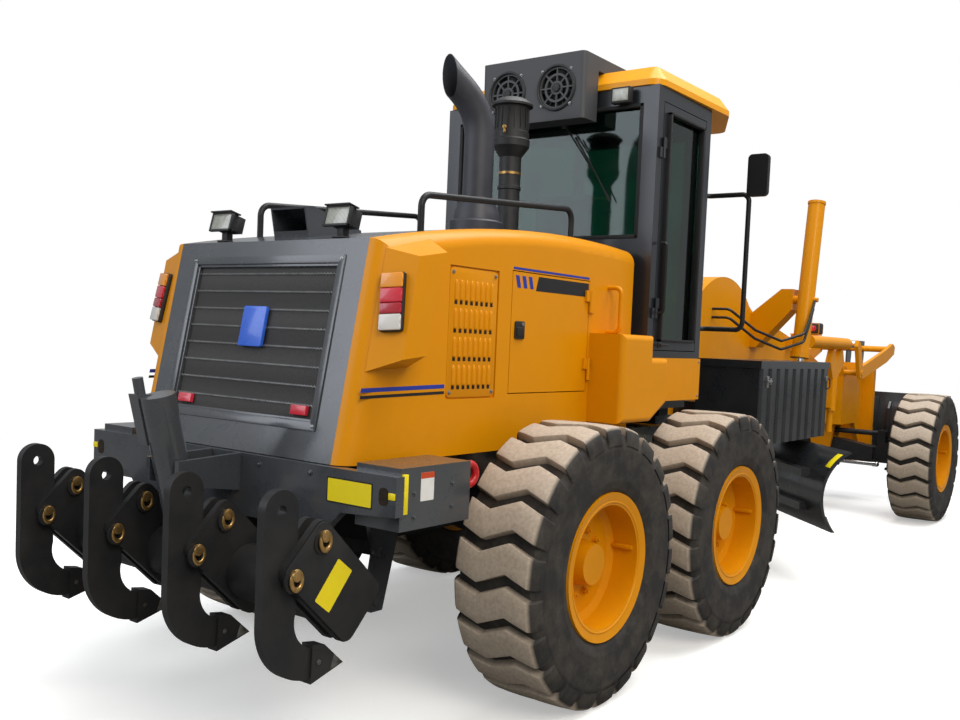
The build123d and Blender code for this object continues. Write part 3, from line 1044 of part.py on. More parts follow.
# ---------------------------------------------------------------- articulation cylinders
for name, hand in (("right", -1), ("left", 1)):
    rear_eye = (ARTIC_REAR, hand * ARTIC_Y, ARTIC_Z)
    front_eye = (ARTIC_FRONT, hand * ARTIC_FRONT_Y, ARTIC_Z)

    def along_artic(share, rear_eye=rear_eye, front_eye=front_eye):
        """A point on the cylinder's line, from 0 at its rear eye to 1 at its front eye."""
        return tuple(a + (b - a) * share for a, b in zip(rear_eye, front_eye))

    with BuildPart() as barrel:
        add(bar(along_artic(0.05), along_artic(0.62), 55))
        add(bar((ARTIC_REAR, hand * ARTIC_Y, ARTIC_Z - 40), (ARTIC_REAR, hand * ARTIC_Y, ARTIC_Z + 50 - RUN), 50))
        add(bar(along_artic(0.09), along_artic(0.65), 30 + PIN_FIT), mode=Mode.SUBTRACT)
    save(barrel.part, f"articulation_barrel_{name}")
    with BuildPart() as rod:
        add(bar(along_artic(0.3), along_artic(0.97), 30))
        add(bar((ARTIC_FRONT, hand * ARTIC_FRONT_Y, ARTIC_Z - 35), (ARTIC_FRONT, hand * ARTIC_FRONT_Y, ARTIC_Z + 35),
                45))
    save(rod.part, f"articulation_rod_{name}")

# ---------------------------------------------------------------- ripper
SHANK_Y = (-840.0, -280.0, 280.0, 840.0)
SHANK_T = 40.0
EYE_HALF = 34.0
POCKET_T = 30.0
BEAM_AT, BEAM_R = (-2120.0, 720.0), 117.0
RING_PINS = ((-2250.0, 975.0), (-2385.0, 850.0))    # pins that hold a shank in its pocket
RING_PIN_R, RING_R = 15.0, 34.0
SHANK_TOP, EYE_R = (-2410.0, 1080.0), 22.0


def link_end(foot):
    """Where a ripper link's far pivot stands."""
    return foot[0] + LINK_REACH[0], foot[1] + LINK_REACH[1]


for name, foot in (("lower", LOWER_FOOT), ("upper", UPPER_FOOT)):
    far = link_end(foot)
    with BuildPart() as links:
        for hand in (-1, 1):
            middle = hand * (LINK_Y - LINK_PLATE / 2 - RUN - 20)
            add(slab(side(middle), (
                (foot[0] + 30, foot[1] - 32), (foot[0] + 30, foot[1] + 28), (far[0] - 25, far[1] + 34),
                (far[0] - 30, far[1] - 28)), 40))
            for spot in (foot, far):
                add(bar((spot[0], middle - 25, spot[1]), (spot[0], middle + 25, spot[1]), LINK_PIN_R + PIN_FIT),
                    mode=Mode.SUBTRACT)
    save(links.part, f"ripper_{name}_links")

with BuildPart() as ripper:
    add(bar((BEAM_AT[0], SHANK_Y[0] - 60, BEAM_AT[1]), (BEAM_AT[0], SHANK_Y[-1] + 60, BEAM_AT[1]), BEAM_R))
    for shank_y in SHANK_Y:
        for hand in (-1, 1):
            add(slab(side(shank_y + hand * (SHANK_T / 2 + RUN + POCKET_T / 2)), (
                (-2240, 1050), (-1910, 720), (-2100, 520), (-2440, 850)), POCKET_T, 45))
        outer_face = shank_y - SHANK_T / 2 - RUN - POCKET_T
        for pin in RING_PINS:
            add(bar((pin[0], outer_face - 20, pin[1]), (pin[0], shank_y + SHANK_T / 2 + RUN + POCKET_T + 14, pin[1]),
                    RING_PIN_R))
            with BuildSketch(side(outer_face - 5)):
                with Locations((pin[0] - 6, pin[1] - RING_R + 10)):
                    Ellipse(RING_R, RING_R + 8)
                    Ellipse(RING_R - 13, RING_R - 5, mode=Mode.SUBTRACT)
            extrude(amount=12)
    for hand in (-1, 1):
        lower, upper = link_end(LOWER_FOOT), link_end(UPPER_FOOT)
        add(slab(side(hand * LINK_Y), (
            (BEAM_AT[0] - 40, 630), (lower[0], lower[1] - 45), (lower[0] + 45, lower[1]),
            (upper[0] + 42, upper[1]), (upper[0], upper[1] + 42), (BEAM_AT[0] - 40, 820)), LINK_PLATE))
        for spot in (lower, upper):
            add(bar((spot[0], hand * (LINK_Y - LINK_PLATE / 2 - 42), spot[1]),
                    (spot[0], hand * (LINK_Y + LINK_PLATE / 2 + 8), spot[1]), LINK_PIN_R))
    for hand in (-1, 1):
        add(slab(side(hand * (EYE_HALF + RUN + 12)), (
            (BEAM_AT[0] + 30, 800), (RIPPER_EYE[0] + 30, RIPPER_EYE[1] + 35),
            (RIPPER_EYE[0] - 35, RIPPER_EYE[1] + 20), (RIPPER_EYE[0] - 35, RIPPER_EYE[1] - 60),
            (BEAM_AT[0] - 60, 760)), 24))
    for shank_y in SHANK_Y:
        with BuildSketch(side(shank_y)):
            with BuildLine():
                Line((SHANK_TOP[0] + 78, SHANK_TOP[1]), (SHANK_TOP[0] + 78, 690))
                ThreePointArc((SHANK_TOP[0] + 78, 690), (-2300, 570), (-2215, 535))
                Line((-2215, 535), (-2180, 440))
                Line((-2180, 440), (-2270, 425))
                ThreePointArc((-2270, 425), (-2425, 500), (SHANK_TOP[0] - 78, 660))
                Line((SHANK_TOP[0] - 78, 660), (SHANK_TOP[0] - 78, SHANK_TOP[1]))
                ThreePointArc((SHANK_TOP[0] - 78, SHANK_TOP[1]), (SHANK_TOP[0], SHANK_TOP[1] + 78),
                              (SHANK_TOP[0] + 78, SHANK_TOP[1]))
            make_face()
            with Locations(SHANK_TOP):
                Circle(EYE_R, mode=Mode.SUBTRACT)
            with Locations(RING_PINS[1]):
                Circle(RING_PIN_R + PIN_FIT, mode=Mode.SUBTRACT)
        extrude(amount=SHANK_T / 2, both=True)
        add(slab(side(shank_y), ((-2255, 405), (-2090, 452), (-2190, 545), (-2250, 555)), SHANK_T + 20))
save(ripper.part, "ripper")

with BuildPart() as ripper_rod:
    add(bar(ripper_line(-300), ripper_line(230), RIPPER_ROD_R))
    add(bar((RIPPER_EYE[0], -EYE_HALF, RIPPER_EYE[1]), (RIPPER_EYE[0], EYE_HALF, RIPPER_EYE[1]), 36))
save(ripper_rod.part, "ripper_rod")

# ---------------------------------------------------------------- front blade and its lift
with BuildPart() as front_blade:
    with BuildSketch(side(FRONT_BLADE_HALF)):
        with BuildLine():
            ThreePointArc((PLOUGH + 90, 450), (PLOUGH, 850), (PLOUGH + 75, 1300))
            Line((PLOUGH + 75, 1300), (PLOUGH + 53, 1306))
            ThreePointArc((PLOUGH + 53, 1306), (PLOUGH - 22, 850), (PLOUGH + 68, 450))
            Line((PLOUGH + 68, 450), (PLOUGH + 90, 450))
        make_face()
    extrude(amount=2 * FRONT_BLADE_HALF)
    for rib_y in (-900, -450, 450, 900):
        add(slab(side(rib_y), (
            (PLOUGH - 60, 620), (PLOUGH - 60, 1120), (PLOUGH, 1200), (PLOUGH - 10, 850), (PLOUGH + 20, 560)), 24))
    add(slab(side(), ((MAST_FRONT + RUN, 560), (MAST_FRONT + RUN, 1250), (PLOUGH - 10, 1250), (PLOUGH - 10, 560)),
             2 * MAST_HALF))
    for hand in (-1, 1):
        add(slab(side(hand * 75), (
            (PLOUGH - 80, 1240), (PLOUGH - 80, 1900), (PLOUGH + 80, 1900), (PLOUGH + 80, 1740),
            (PLOUGH, 1240)), 20))
        with BuildSketch(side(hand * 75)):
            with Locations((ARM_BOSS[0] + 12, ARM_BOSS[1])):
                SlotOverall(2 * CROSS_TUBE_R + 45, 2 * CROSS_TUBE_R + 16)
        extrude(amount=30, both=True, mode=Mode.SUBTRACT)
save(front_blade.part, "front_blade")

with BuildPart() as front_lift_arms:
    for hand in (-1, 1):
        add(slab(side(hand * ARM_Y), (
            (ARM_PIVOT[0] - 60, ARM_PIVOT[1] - 50), (ARM_PIVOT[0] + 60, ARM_PIVOT[1] - 60),
            (ARM_BOSS[0] - 250, 1660), (ARM_BOSS[0] + 40, ARM_BOSS[1] - 55), (ARM_BOSS[0] + 60, ARM_BOSS[1] + 30),
            (ARM_BOSS[0] - 30, ARM_BOSS[1] + 68), (ARM_BOSS[0] - 300, 1800), (ARM_PIVOT[0] + 20, ARM_PIVOT[1] + 75),
            (LEVER[0] + 45, LEVER[1] + 20), (LEVER[0] - 20, LEVER[1] + 45), (LEVER[0] - 45, LEVER[1] - 20),
        ), ARM_T))
        add(bar((ARM_PIVOT[0], hand * 400, ARM_PIVOT[1]), (ARM_PIVOT[0], hand * 460, ARM_PIVOT[1]),
                ARM_PIN_R + PIN_FIT), mode=Mode.SUBTRACT)
    add(bar((ARM_BOSS[0], -ARM_Y, ARM_BOSS[1]), (ARM_BOSS[0], ARM_Y, ARM_BOSS[1]), CROSS_TUBE_R))
save(front_lift_arms.part, "front_lift_arms")

with BuildPart() as front_lift_rod:
    add(bar((LEVER[0] - 1100, LIFT2_Y, LEVER[1]), (LEVER[0] - 30, LIFT2_Y, LEVER[1]), LIFT2_ROD_R))
    add(bar((LEVER[0], LIFT2_Y - 25, LEVER[1]), (LEVER[0], LIFT2_Y + 25, LEVER[1]), 42))
save(front_lift_rod.part, "front_lift_rod")

# ---------------------------------------------------------------- hoses to the lift cylinders
HOSE_R = 11.0
with BuildPart() as hoses:
    for drop, shift in ((0, 0), (-70, 28)):
        add(bent_tube((
            (2700, -BEAM_HALF - RUN, 2060 + drop), (2700, -300, 2060 + drop),
            (2900, -450, 1900 + drop), (3130, -590, 1820 + drop), (3360, -700, 1890 + drop),
            (3460 - shift, -716, 2050 + drop), (3535 - shift, -716, 2180 + drop),
        ), HOSE_R, 55))
    mirror(about=Plane.XZ)
save(hoses.part, "hoses")
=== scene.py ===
import math

import bpy
from mathutils import Matrix, Vector


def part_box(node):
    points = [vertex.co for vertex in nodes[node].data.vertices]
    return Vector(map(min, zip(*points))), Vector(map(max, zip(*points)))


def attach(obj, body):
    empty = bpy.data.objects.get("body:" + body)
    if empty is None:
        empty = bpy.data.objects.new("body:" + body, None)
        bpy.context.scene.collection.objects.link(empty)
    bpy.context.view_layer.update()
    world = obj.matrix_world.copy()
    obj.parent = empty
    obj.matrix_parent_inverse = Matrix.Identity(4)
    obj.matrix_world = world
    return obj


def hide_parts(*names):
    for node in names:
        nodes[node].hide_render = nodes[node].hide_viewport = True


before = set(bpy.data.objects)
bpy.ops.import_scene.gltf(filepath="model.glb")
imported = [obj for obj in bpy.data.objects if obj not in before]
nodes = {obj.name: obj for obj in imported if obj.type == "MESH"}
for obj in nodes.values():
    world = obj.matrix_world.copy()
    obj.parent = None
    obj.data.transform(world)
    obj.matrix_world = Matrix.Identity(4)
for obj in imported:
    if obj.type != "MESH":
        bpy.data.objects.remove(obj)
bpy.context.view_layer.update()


# Floor, lights and camera. The machine stands on a plain pale floor under soft studio
# light, seen from behind its right rear corner at a person's eye height.
def linear(code):
    """An sRGB hex colour as linear RGBA."""
    values = [int(code[i:i + 2], 16) / 255 for i in (1, 3, 5)]
    return [v / 12.92 if v <= 0.04045 else ((v + 0.055) / 1.055) ** 2.4 for v in values] + [1.0]


def fill(tree, node, inputs):
    """Sets each named input of a node to a value, or links it to another node's output."""
    for name, value in inputs.items():
        if isinstance(value, bpy.types.NodeSocket):
            tree.links.new(value, node.inputs[name])
        else:
            node.inputs[name].default_value = value


def add_node(tree, kind, inputs=None, **settings):
    """Adds one node, sets it and fills its inputs."""
    made = tree.nodes.new(kind)
    for name, value in settings.items():
        setattr(made, name, value)
    fill(tree, made, inputs or {})
    return made


def remap(tree, value, low, high, to_low=0.0, to_high=1.0):
    """A value whose range from low to high is stretched over another range."""
    return add_node(tree, "ShaderNodeMapRange", {
        "Value": value, "From Min": low, "From Max": high, "To Min": to_low, "To Max": to_high,
    }).outputs["Result"]


def start_material(name):
    """An empty material, its tree, its shader and its Object coordinates."""
    material = bpy.data.materials.new(name)
    material.use_nodes = True
    tree = material.node_tree
    place = add_node(tree, "ShaderNodeTexCoord").outputs["Object"]
    return material, tree, tree.nodes["Principled BSDF"], place


# painted concrete: pale near the machine, fading to white further off, and a grey bounce of light
FADE_START, FADE_END = 4.5, 10.0
floor_paint, tree, shader, place = start_material("pale_painted_floor")
fill(tree, shader, {"Base Color": linear("#e9e9e7"), "Roughness": 0.9})
glow = add_node(tree, "ShaderNodeEmission", {"Color": linear("#f4f4f3"), "Strength": 0.42})
near = add_node(tree, "ShaderNodeAddShader", {0: shader.outputs["BSDF"], 1: glow.outputs["Emission"]})
distance = add_node(tree, "ShaderNodeVectorMath", {0: place}, operation="LENGTH").outputs["Value"]
white = add_node(tree, "ShaderNodeEmission", {"Color": linear("#ffffff"), "Strength": 1.0})
faded = remap(tree, distance, FADE_START, FADE_END)
ground = add_node(tree, "ShaderNodeMixShader", {
    "Fac": faded, 1: near.outputs["Shader"], 2: white.outputs["Emission"]})
bounce = add_node(tree, "ShaderNodeBsdfDiffuse", {"Color": linear("#83827f")})
seen = add_node(tree, "ShaderNodeLightPath").outputs["Is Camera Ray"]
mixed = add_node(tree, "ShaderNodeMixShader", {
    "Fac": seen, 1: bounce.outputs["BSDF"], 2: ground.outputs["Shader"]})
tree.links.new(mixed.outputs["Shader"], tree.nodes["Material Output"].inputs["Surface"])

FLOOR_SIZE, FLOOR_Z = 120, -0.002
bpy.ops.object.select_all(action="DESELECT")
bpy.ops.mesh.primitive_plane_add(size=FLOOR_SIZE, location=(0, 0, FLOOR_Z))
floor = bpy.context.active_object
floor.name = "studio_floor"
floor.data.materials.append(floor_paint)

world = bpy.data.worlds.new("studio")
bpy.context.scene.world = world
world.use_nodes = True
sky = world.node_tree
fill(sky, sky.nodes["Background"], {"Color": linear("#eef1f4"), "Strength": 0.46})
pale = add_node(sky, "ShaderNodeBackground", {"Color": linear("#ffffff"), "Strength": 1.0})
seen = add_node(sky, "ShaderNodeLightPath").outputs["Is Camera Ray"]
shown = add_node(sky, "ShaderNodeMixShader", {
    "Fac": seen, 1: sky.nodes["Background"].outputs["Background"], 2: pale.outputs["Background"]})
sky.links.new(shown.outputs["Shader"], sky.nodes["World Output"].inputs["Surface"])

LIT_POINT = Vector((-1.0, 0, 1.2))
for name, place_at, size, power, colour in (
    ("key_panel", (-9.0, -11.0, 9.5), 7.0, 1050, "#fff6ea"),
    ("top_panel", (1.0, -2.0, 12.0), 10.0, 1750, "#ffffff"),
    ("fill_panel", (-12.0, 5.0, 6.0), 7.0, 420, "#eef4ff"),
):
    lamp = bpy.data.lights.new(name, "AREA")
    lamp.size = size
    lamp.energy = power
    lamp.color = linear(colour)[:3]
    holder = bpy.data.objects.new(name, lamp)
    bpy.context.scene.collection.objects.link(holder)
    holder.location = place_at
    holder.rotation_euler = (LIT_POINT - Vector(place_at)).to_track_quat("-Z", "Y").to_euler()

EYE_PLACE = (-7.1229, -3.5545, 1.738)
YAW, PITCH, ROLL = math.radians(35.55), math.radians(-3.0), math.radians(2.57)
eye = bpy.data.cameras.new("eye")
eye.sensor_width = 36.0
eye.lens = 36.36
eye.shift_x = -0.0417
eye.shift_y = 0.03125
eye.clip_end = 200
camera = bpy.data.objects.new("eye", eye)
bpy.context.scene.collection.objects.link(camera)
ahead = Vector((math.cos(YAW) * math.cos(PITCH), math.sin(YAW) * math.cos(PITCH), math.sin(PITCH)))
level = Vector((math.sin(YAW), -math.cos(YAW), 0))
upward = level.cross(ahead)
right = level * math.cos(ROLL) + upward * math.sin(ROLL)
above = upward * math.cos(ROLL) - level * math.sin(ROLL)
camera.matrix_world = Matrix.Translation(EYE_PLACE) @ Matrix((right, above, -ahead)).transposed().to_4x4()
bpy.context.scene.camera = camera
bpy.context.scene.view_settings.view_transform = "Standard"


# Painted steelwork. The pressed and welded body is sprayed with two-part enamel: orange
# yellow on the body, frame and rims, dark grey on the shroud, bumper and cab, black below.
def blend(tree, share, first, second):
    """The first colour, giving way to the second as the share grows from 0 to 1."""
    # a colour mix takes its two colours in sockets 6 and 7, and gives the result in 2
    return add_node(tree, "ShaderNodeMix", {"Factor": share, 6: first, 7: second},
                    data_type="RGBA").outputs[2]


def noise(tree, place, scale, detail, roughness=0.5):
    """Cloudy noise, with so many clouds to the metre."""
    return add_node(tree, "ShaderNodeTexNoise", {
        "Vector": place, "Scale": scale, "Detail": detail, "Roughness": roughness}).outputs["Fac"]


def product(tree, first, second):
    """Two values multiplied."""
    return add_node(tree, "ShaderNodeMath", {0: first, 1: second}, operation="MULTIPLY").outputs[0]


def bumped(tree, height, strength, distance):
    """A normal that follows a height, its relief in metres."""
    return add_node(tree, "ShaderNodeBump", {
        "Height": height, "Strength": strength, "Distance": distance}).outputs["Normal"]


def enamel(name, colour, dust, roughness, grime, specular=0.22, coat=0.06):
    """Sprayed two-part enamel: even colour, fine orange peel, dust that thickens low down."""
    material, tree, shader, place = start_material(name)
    height = add_node(tree, "ShaderNodeSeparateXYZ", {"Vector": place}).outputs["Z"]
    # patches of dust about 150 mm across, and orange peel about 2 mm from crest to crest
    patches = remap(tree, noise(tree, place, 6.0, 8.0, 0.65), 0.35, 0.75)
    amount = product(tree, remap(tree, height, 0.2, 2.0, grime, 0.06), patches)
    peel = noise(tree, place, 450.0, 2.0)
    fill(tree, shader, {
        "Base Color": blend(tree, amount, linear(colour), linear(dust)),
        "Roughness": remap(tree, amount, 0.0, 0.6, roughness, 0.85),
        "Specular IOR Level": specular, "Coat Weight": coat, "Coat Roughness": 0.12,
        "Normal": bumped(tree, peel, 0.12, 0.0006)})
    return material


def dress(material, *names):
    """Gives CAD nodes one material."""
    for name in names:
        nodes[name].data.materials.clear()
        nodes[name].data.materials.append(material)


SIDES = ("right", "left")
ROWS = ("rear", "mid", "front")
# the body colour, rather matt, with road dust on its lower half
yellow_enamel = enamel("orange_yellow_enamel", "#db8e00", "#a06f14", 0.36, 0.22, 0.18)
dress(yellow_enamel, "side_panels", "front_frame", "lift_barrels", "front_lift_arms",
      *[f"{part}_{side}" for side in SIDES for part in ("engine_door", "articulation_barrel")],
      *[f"rim_{row}_{side}" for side in SIDES for row in ROWS])
# dark grey under a clear coat, on the shroud, the bumper and the stacks
grey_enamel = enamel("dark_grey_enamel", "#3a3e43", "#66625a", 0.24, 0.22, 0.6, 0.55)
dress(grey_enamel, "hood_shroud", "rear_frame", "stacks")
# the cab's blue-black, glossy
cab_enamel = enamel("charcoal_cab_enamel", "#1f2329", "#55504a", 0.3, 0.2, 0.5, 0.3)
dress(cab_enamel, "cab_frame", "door_right", "door_left")
# satin black, on the running gear and the ripper
black_enamel = enamel("satin_black_enamel", "#222325", "#504b44", 0.42, 0.3)
dress(black_enamel, "grille", "rails_and_mirrors", "work_lamps", "ripper", "ripper_lower_links",
      "ripper_upper_links", "lean_bar", "engine", "circle", "tandem_drive", "front_axle", "drawbar",
      "blade_carrier", *[f"{part}_{side}" for side in SIDES for part in ("lean_carrier", "knuckle")])
# a blacker coat of the same paint, on the side boxes and the blades
box_enamel = enamel("blue_black_enamel", "#1f2226", "#5b564f", 0.26, 0.22, 0.5, 0.4)
dress(box_enamel, "tool_boxes", "moldboard", "front_blade")
# the roof, a moulding, is given a paler yellow than the steelwork: painted top light, standing for the
# strong light from above
roof_with_painted_top_light = enamel("yellow_roof_painted_top_light", "#f2a312", "#b58431", 0.34, 0.3)
dress(roof_with_painted_top_light, "cab_roof")


# Tyres. Each is a bias-ply grader tyre of moulded black rubber, 1.35 m across: a bulging carcass
# with 22 zigzag lugs that wrap round its shoulders. Use has rubbed the lug tops pale with dust.
LUGS, TREAD_R, FLOOR_R = 22, 0.675, 0.634
GROOVE_WIDTH, SHOULDER_R, WORN_R = 0.058, 0.60, 0.655
LUG_WIDTH = 2 * math.pi * TREAD_R / LUGS - GROOVE_WIDTH
BEAD_R, BEAD_Y = 0.3185, 0.18
SIDEWALL = (
    (BEAD_R, BEAD_Y), (0.34, 0.184), (0.357, 0.187), (0.366, 0.197), (0.38, 0.206), (0.41, 0.215),
    (0.418, 0.2175), (0.426, 0.2165), (0.47, 0.2215), (0.52, 0.2222), (0.56, 0.2195), (0.566, 0.2205),
    (0.574, 0.2185), (0.604, 0.211), (0.622, 0.203), (FLOOR_R, 0.19))
# across the tread: distance from the middle plane, and radius of the lug's top
LUG_ROWS = ((0.2215, 0.584), (0.22, 0.606), (0.215, 0.632), (0.206, 0.655), (0.19, 0.6705),
            (0.13, 0.6735), (0.075, 0.6745), (0.0, 0.675))
# a lug's middle line: distance from the middle plane, and how far it swings round the tread
ZIGZAG = ((-0.24, -0.034), (-0.075, 0.03), (0.075, -0.03), (0.24, 0.034))
WHEEL_MIDDLE = 1.078


def select_only(*objects):
    """Makes these objects the whole selection, and the first of them active."""
    bpy.ops.object.select_all(action="DESELECT")
    for item in objects:
        item.select_set(True)
    bpy.context.view_layer.objects.active = objects[0]


def shape(item, kind, **settings):
    """Adds a modifier to a piece, sets it and applies it."""
    select_only(item)
    made = item.modifiers.new(kind.lower(), kind)
    for name, value in settings.items():
        setattr(made, name, value)
    bpy.ops.object.modifier_apply(modifier=made.name)


def joined(items):
    """Several pieces made one."""
    select_only(*items)
    bpy.ops.object.join()
    return items[0]


def settle(piece, name, material, body="rear_body", angle=32):
    """Joins a list of pieces, puts their place into the mesh, smooths, names, dresses, lets ride."""
    item = joined(piece) if isinstance(piece, list) else piece
    select_only(item)
    bpy.ops.object.transform_apply(location=True, rotation=True, scale=True)
    bpy.ops.object.shade_smooth_by_angle(angle=math.radians(angle))
    item.name = name
    item.data.materials.clear()
    item.data.materials.append(material)
    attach(item, body)
    return item


def moved(item, matrix):
    """A piece whose mesh is moved by a matrix."""
    item.data.transform(matrix)
    return item


def copy_of(item, matrix):
    """A copy with its own mesh, moved by a matrix."""
    twin = item.copy()
    twin.data = item.data.copy()
    bpy.context.scene.collection.objects.link(twin)
    return moved(twin, matrix)


def zigzag(y):
    """How far a lug's middle line swings round the tread, at a distance from the middle plane."""
    for (y0, s0), (y1, s1) in zip(ZIGZAG, ZIGZAG[1:]):
        if y <= y1:
            return s0 + (s1 - s0) * (y - y0) / (y1 - y0)
    return ZIGZAG[-1][1]


def drawn(points):
    """A chain of edges through points, left open in edit mode."""
    bpy.ops.object.select_all(action="DESELECT")
    bpy.ops.mesh.primitive_plane_add(size=1)
    item = bpy.context.active_object
    bpy.ops.object.mode_set(mode="EDIT")
    bpy.ops.mesh.merge(type="CENTER")
    bpy.ops.transform.translate(value=points[0])
    for (x0, y0, _), (x1, y1, _) in zip(points, points[1:]):
        bpy.ops.mesh.extrude_region_move(TRANSFORM_OT_translate={"value": (x1 - x0, y1 - y0, 0)})
    bpy.ops.mesh.select_all(action="SELECT")
    return item


def closed_up():
    """Turns the whole mesh's normals outward, and leaves edit mode."""
    bpy.ops.mesh.select_all(action="SELECT")
    bpy.ops.mesh.normals_make_consistent(inside=False)
    bpy.ops.object.mode_set(mode="OBJECT")


def lathe(profile, steps):
    """A closed shape turned about the Y axis: a chain of (radius, y) points extruded, then spun."""
    item = drawn([(radius, y, 0) for radius, y in profile])
    bpy.ops.mesh.spin(steps=steps, angle=2 * math.pi, center=(0, 0, 0), axis=(0, 1, 0))
    bpy.ops.mesh.select_all(action="SELECT")
    bpy.ops.mesh.remove_doubles(threshold=0.00005)
    closed_up()
    return item


carcass = lathe([(r, -y) for r, y in SIDEWALL] + [(FLOOR_R + 0.002, 0.0)] + list(reversed(SIDEWALL))
                + [(BEAD_R, -BEAD_Y)], 88)
carcass.data.attributes.new("dust", "FLOAT", "POINT")

rows = [(-y, r) for y, r in LUG_ROWS[:-1]] + [(y, r) for y, r in reversed(LUG_ROWS)]
bpy.ops.object.select_all(action="DESELECT")
bpy.ops.mesh.primitive_grid_add(x_subdivisions=5, y_subdivisions=len(rows) - 1, size=2)
lug = bpy.context.active_object
columns = sorted({round(v.co.x, 4) for v in lug.data.vertices})
levels = sorted({round(v.co.y, 4) for v in lug.data.vertices})
for vertex in lug.data.vertices:
    column = columns.index(round(vertex.co.x, 4))
    y, top = rows[levels.index(round(vertex.co.y, 4))]
    share = (-1.12, -1.0, -0.36, 0.36, 1.0, 1.12)[column]
    # the outer two columns go down into the carcass and make the lug's flanks
    flank = column in (0, 5)
    radius = min(top, SHOULDER_R) - 0.006 if flank else top
    turn = (zigzag(y) + share * LUG_WIDTH / 2) / TREAD_R
    inner_y = y - math.copysign(0.004, y) if flank and abs(y) > 0.2 else y
    vertex.co = (radius * math.sin(turn), inner_y, radius * math.cos(turn))
shape(lug, "BEVEL", width=0.005, segments=2, limit_method="ANGLE", angle_limit=math.radians(40))
worn = lug.data.attributes.new("dust", "FLOAT", "POINT")
for vertex, level in zip(lug.data.vertices, worn.data):
    radius = math.hypot(vertex.co.x, vertex.co.z)
    level.value = max(0.0, min(1.0, (radius - WORN_R) / 0.014))
select_only(lug)
bpy.ops.object.mode_set(mode="EDIT")
closed_up()
if sum(face.normal.z for face in lug.data.polygons if face.center.z > 0.66) < 0:
    lug.data.flip_normals()
lugs = [copy_of(lug, Matrix.Rotation(2 * math.pi * n / LUGS, 4, "Y")) for n in range(LUGS)]
bpy.data.objects.remove(lug)
tyre = joined([carcass] + lugs)

# moulded tyre rubber: charcoal with a fine grain, dull dust on the rubbed lug tops and in streaks
rubber, tree, shader, place = start_material("moulded_tyre_rubber")
on_lugs = add_node(tree, "ShaderNodeAttribute", attribute_name="dust").outputs["Fac"]
film = remap(tree, noise(tree, place, 9.0, 10.0, 0.7), 0.42, 0.72, 0.01, 0.10)
amount = add_node(tree, "ShaderNodeMath", {0: product(tree, on_lugs, 0.93), 1: film}, operation="MAXIMUM")
dust = blend(tree, noise(tree, place, 60.0, 6.0), linear("#988877"), linear("#cbbdab"))
# grit and moulding grain about 3 mm apart
grain = noise(tree, place, 320.0, 5.0)
fill(tree, shader, {
    "Base Color": blend(tree, amount.outputs[0], linear("#1b1a19"), dust), "Roughness": 0.78,
    "Normal": bumped(tree, grain, 0.45, 0.0015)})

WHEELS = {}
for side, hand in (("right", -1), ("left", 1)):
    for row in ROWS:
        low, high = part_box(f"rim_{row}_{side}")
        middle = Vector((low[0] + high[0], low[1] + high[1], low[2] + high[2])) / 2
        middle.y = hand * WHEEL_MIDDLE
        half_turn = Matrix.Rotation(0 if hand > 0 else math.pi, 4, "Z")
        WHEELS[f"{row}_{side}"] = Matrix.Translation(middle) @ half_turn
for wheel, hub in WHEELS.items():
    whole = settle(copy_of(tyre, hub), f"lugged_tyre_{wheel}", rubber, f"wheel_{wheel}")
    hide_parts(f"tyre_{wheel}")
bpy.data.objects.remove(tyre)


# Wheel rims. Each is a deep three-piece steel rim: a barrel with rolled flanges, a lock ring sprung
# in behind the outer flange, a disc bolted to the hub with ten nuts, and two driver bars.
RIM_DISC, NUT_CIRCLE, CAP_CIRCLE = 0.035, 0.158, 0.066
LOCK_RING = ((0.336, 0.188), (0.338, 0.196), (0.343, 0.201), (0.35, 0.202), (0.356, 0.199),
             (0.3585, 0.193), (0.358, 0.186), (0.336, 0.188))
INNER_BEAD = ((0.306, 0.188), (0.305, 0.193), (0.308, 0.1965), (0.312, 0.1975), (0.3165, 0.195),
              (0.318, 0.188), (0.306, 0.188))
HUB_CAP = ((0.0, 0.0965), (0.07, 0.0965), (0.082, 0.093), (0.088, 0.085), (0.088, 0.07), (0.0, 0.07))


def rod(start, end, radius, sides=20, bevel=0.0):
    """A round bar between two points."""
    start, end = Vector(start), Vector(end)
    bpy.ops.object.select_all(action="DESELECT")
    bpy.ops.mesh.primitive_cylinder_add(
        vertices=sides, radius=radius, depth=(end - start).length, location=(start + end) / 2,
        rotation=(end - start).to_track_quat("Z", "Y").to_euler())
    item = bpy.context.active_object
    bpy.ops.object.transform_apply(location=True, rotation=True, scale=True)
    if bevel:
        shape(item, "BEVEL", width=bevel, segments=2, limit_method="ANGLE", angle_limit=math.radians(40))
    return item


def block(low, high, bevel=0.0, segments=2):
    """A box between two corners, its edges rounded."""
    bpy.ops.object.select_all(action="DESELECT")
    bpy.ops.mesh.primitive_cube_add(size=1, location=[(a + b) / 2 for a, b in zip(low, high)])
    item = bpy.context.active_object
    item.scale = [abs(b - a) for a, b in zip(low, high)]
    bpy.ops.object.transform_apply(location=True, rotation=True, scale=True)
    if bevel:
        shape(item, "BEVEL", width=bevel, segments=segments, limit_method="ANGLE")
    return item


def surface(name, colour, other, size, roughness, relief=0.0, relief_size=0.01, metallic=0.0, coat=0.0):
    """A finish that wanders between two colours over patches of a size, with a fine relief, in metres."""
    material, tree, shader, place = start_material(name)
    patches = noise(tree, place, 1 / size, 8.0, 0.62)
    fill(tree, shader, {
        "Base Color": blend(tree, remap(tree, patches, 0.32, 0.72), linear(colour), linear(other)),
        "Roughness": remap(tree, patches, 0.3, 0.7, roughness, min(1.0, roughness + 0.15)),
        "Metallic": metallic, "Coat Weight": coat})
    if relief:
        fill(tree, shader, {"Normal": bumped(tree, noise(tree, place, 1 / relief_size, 4.0), 0.5, relief)})
    return material


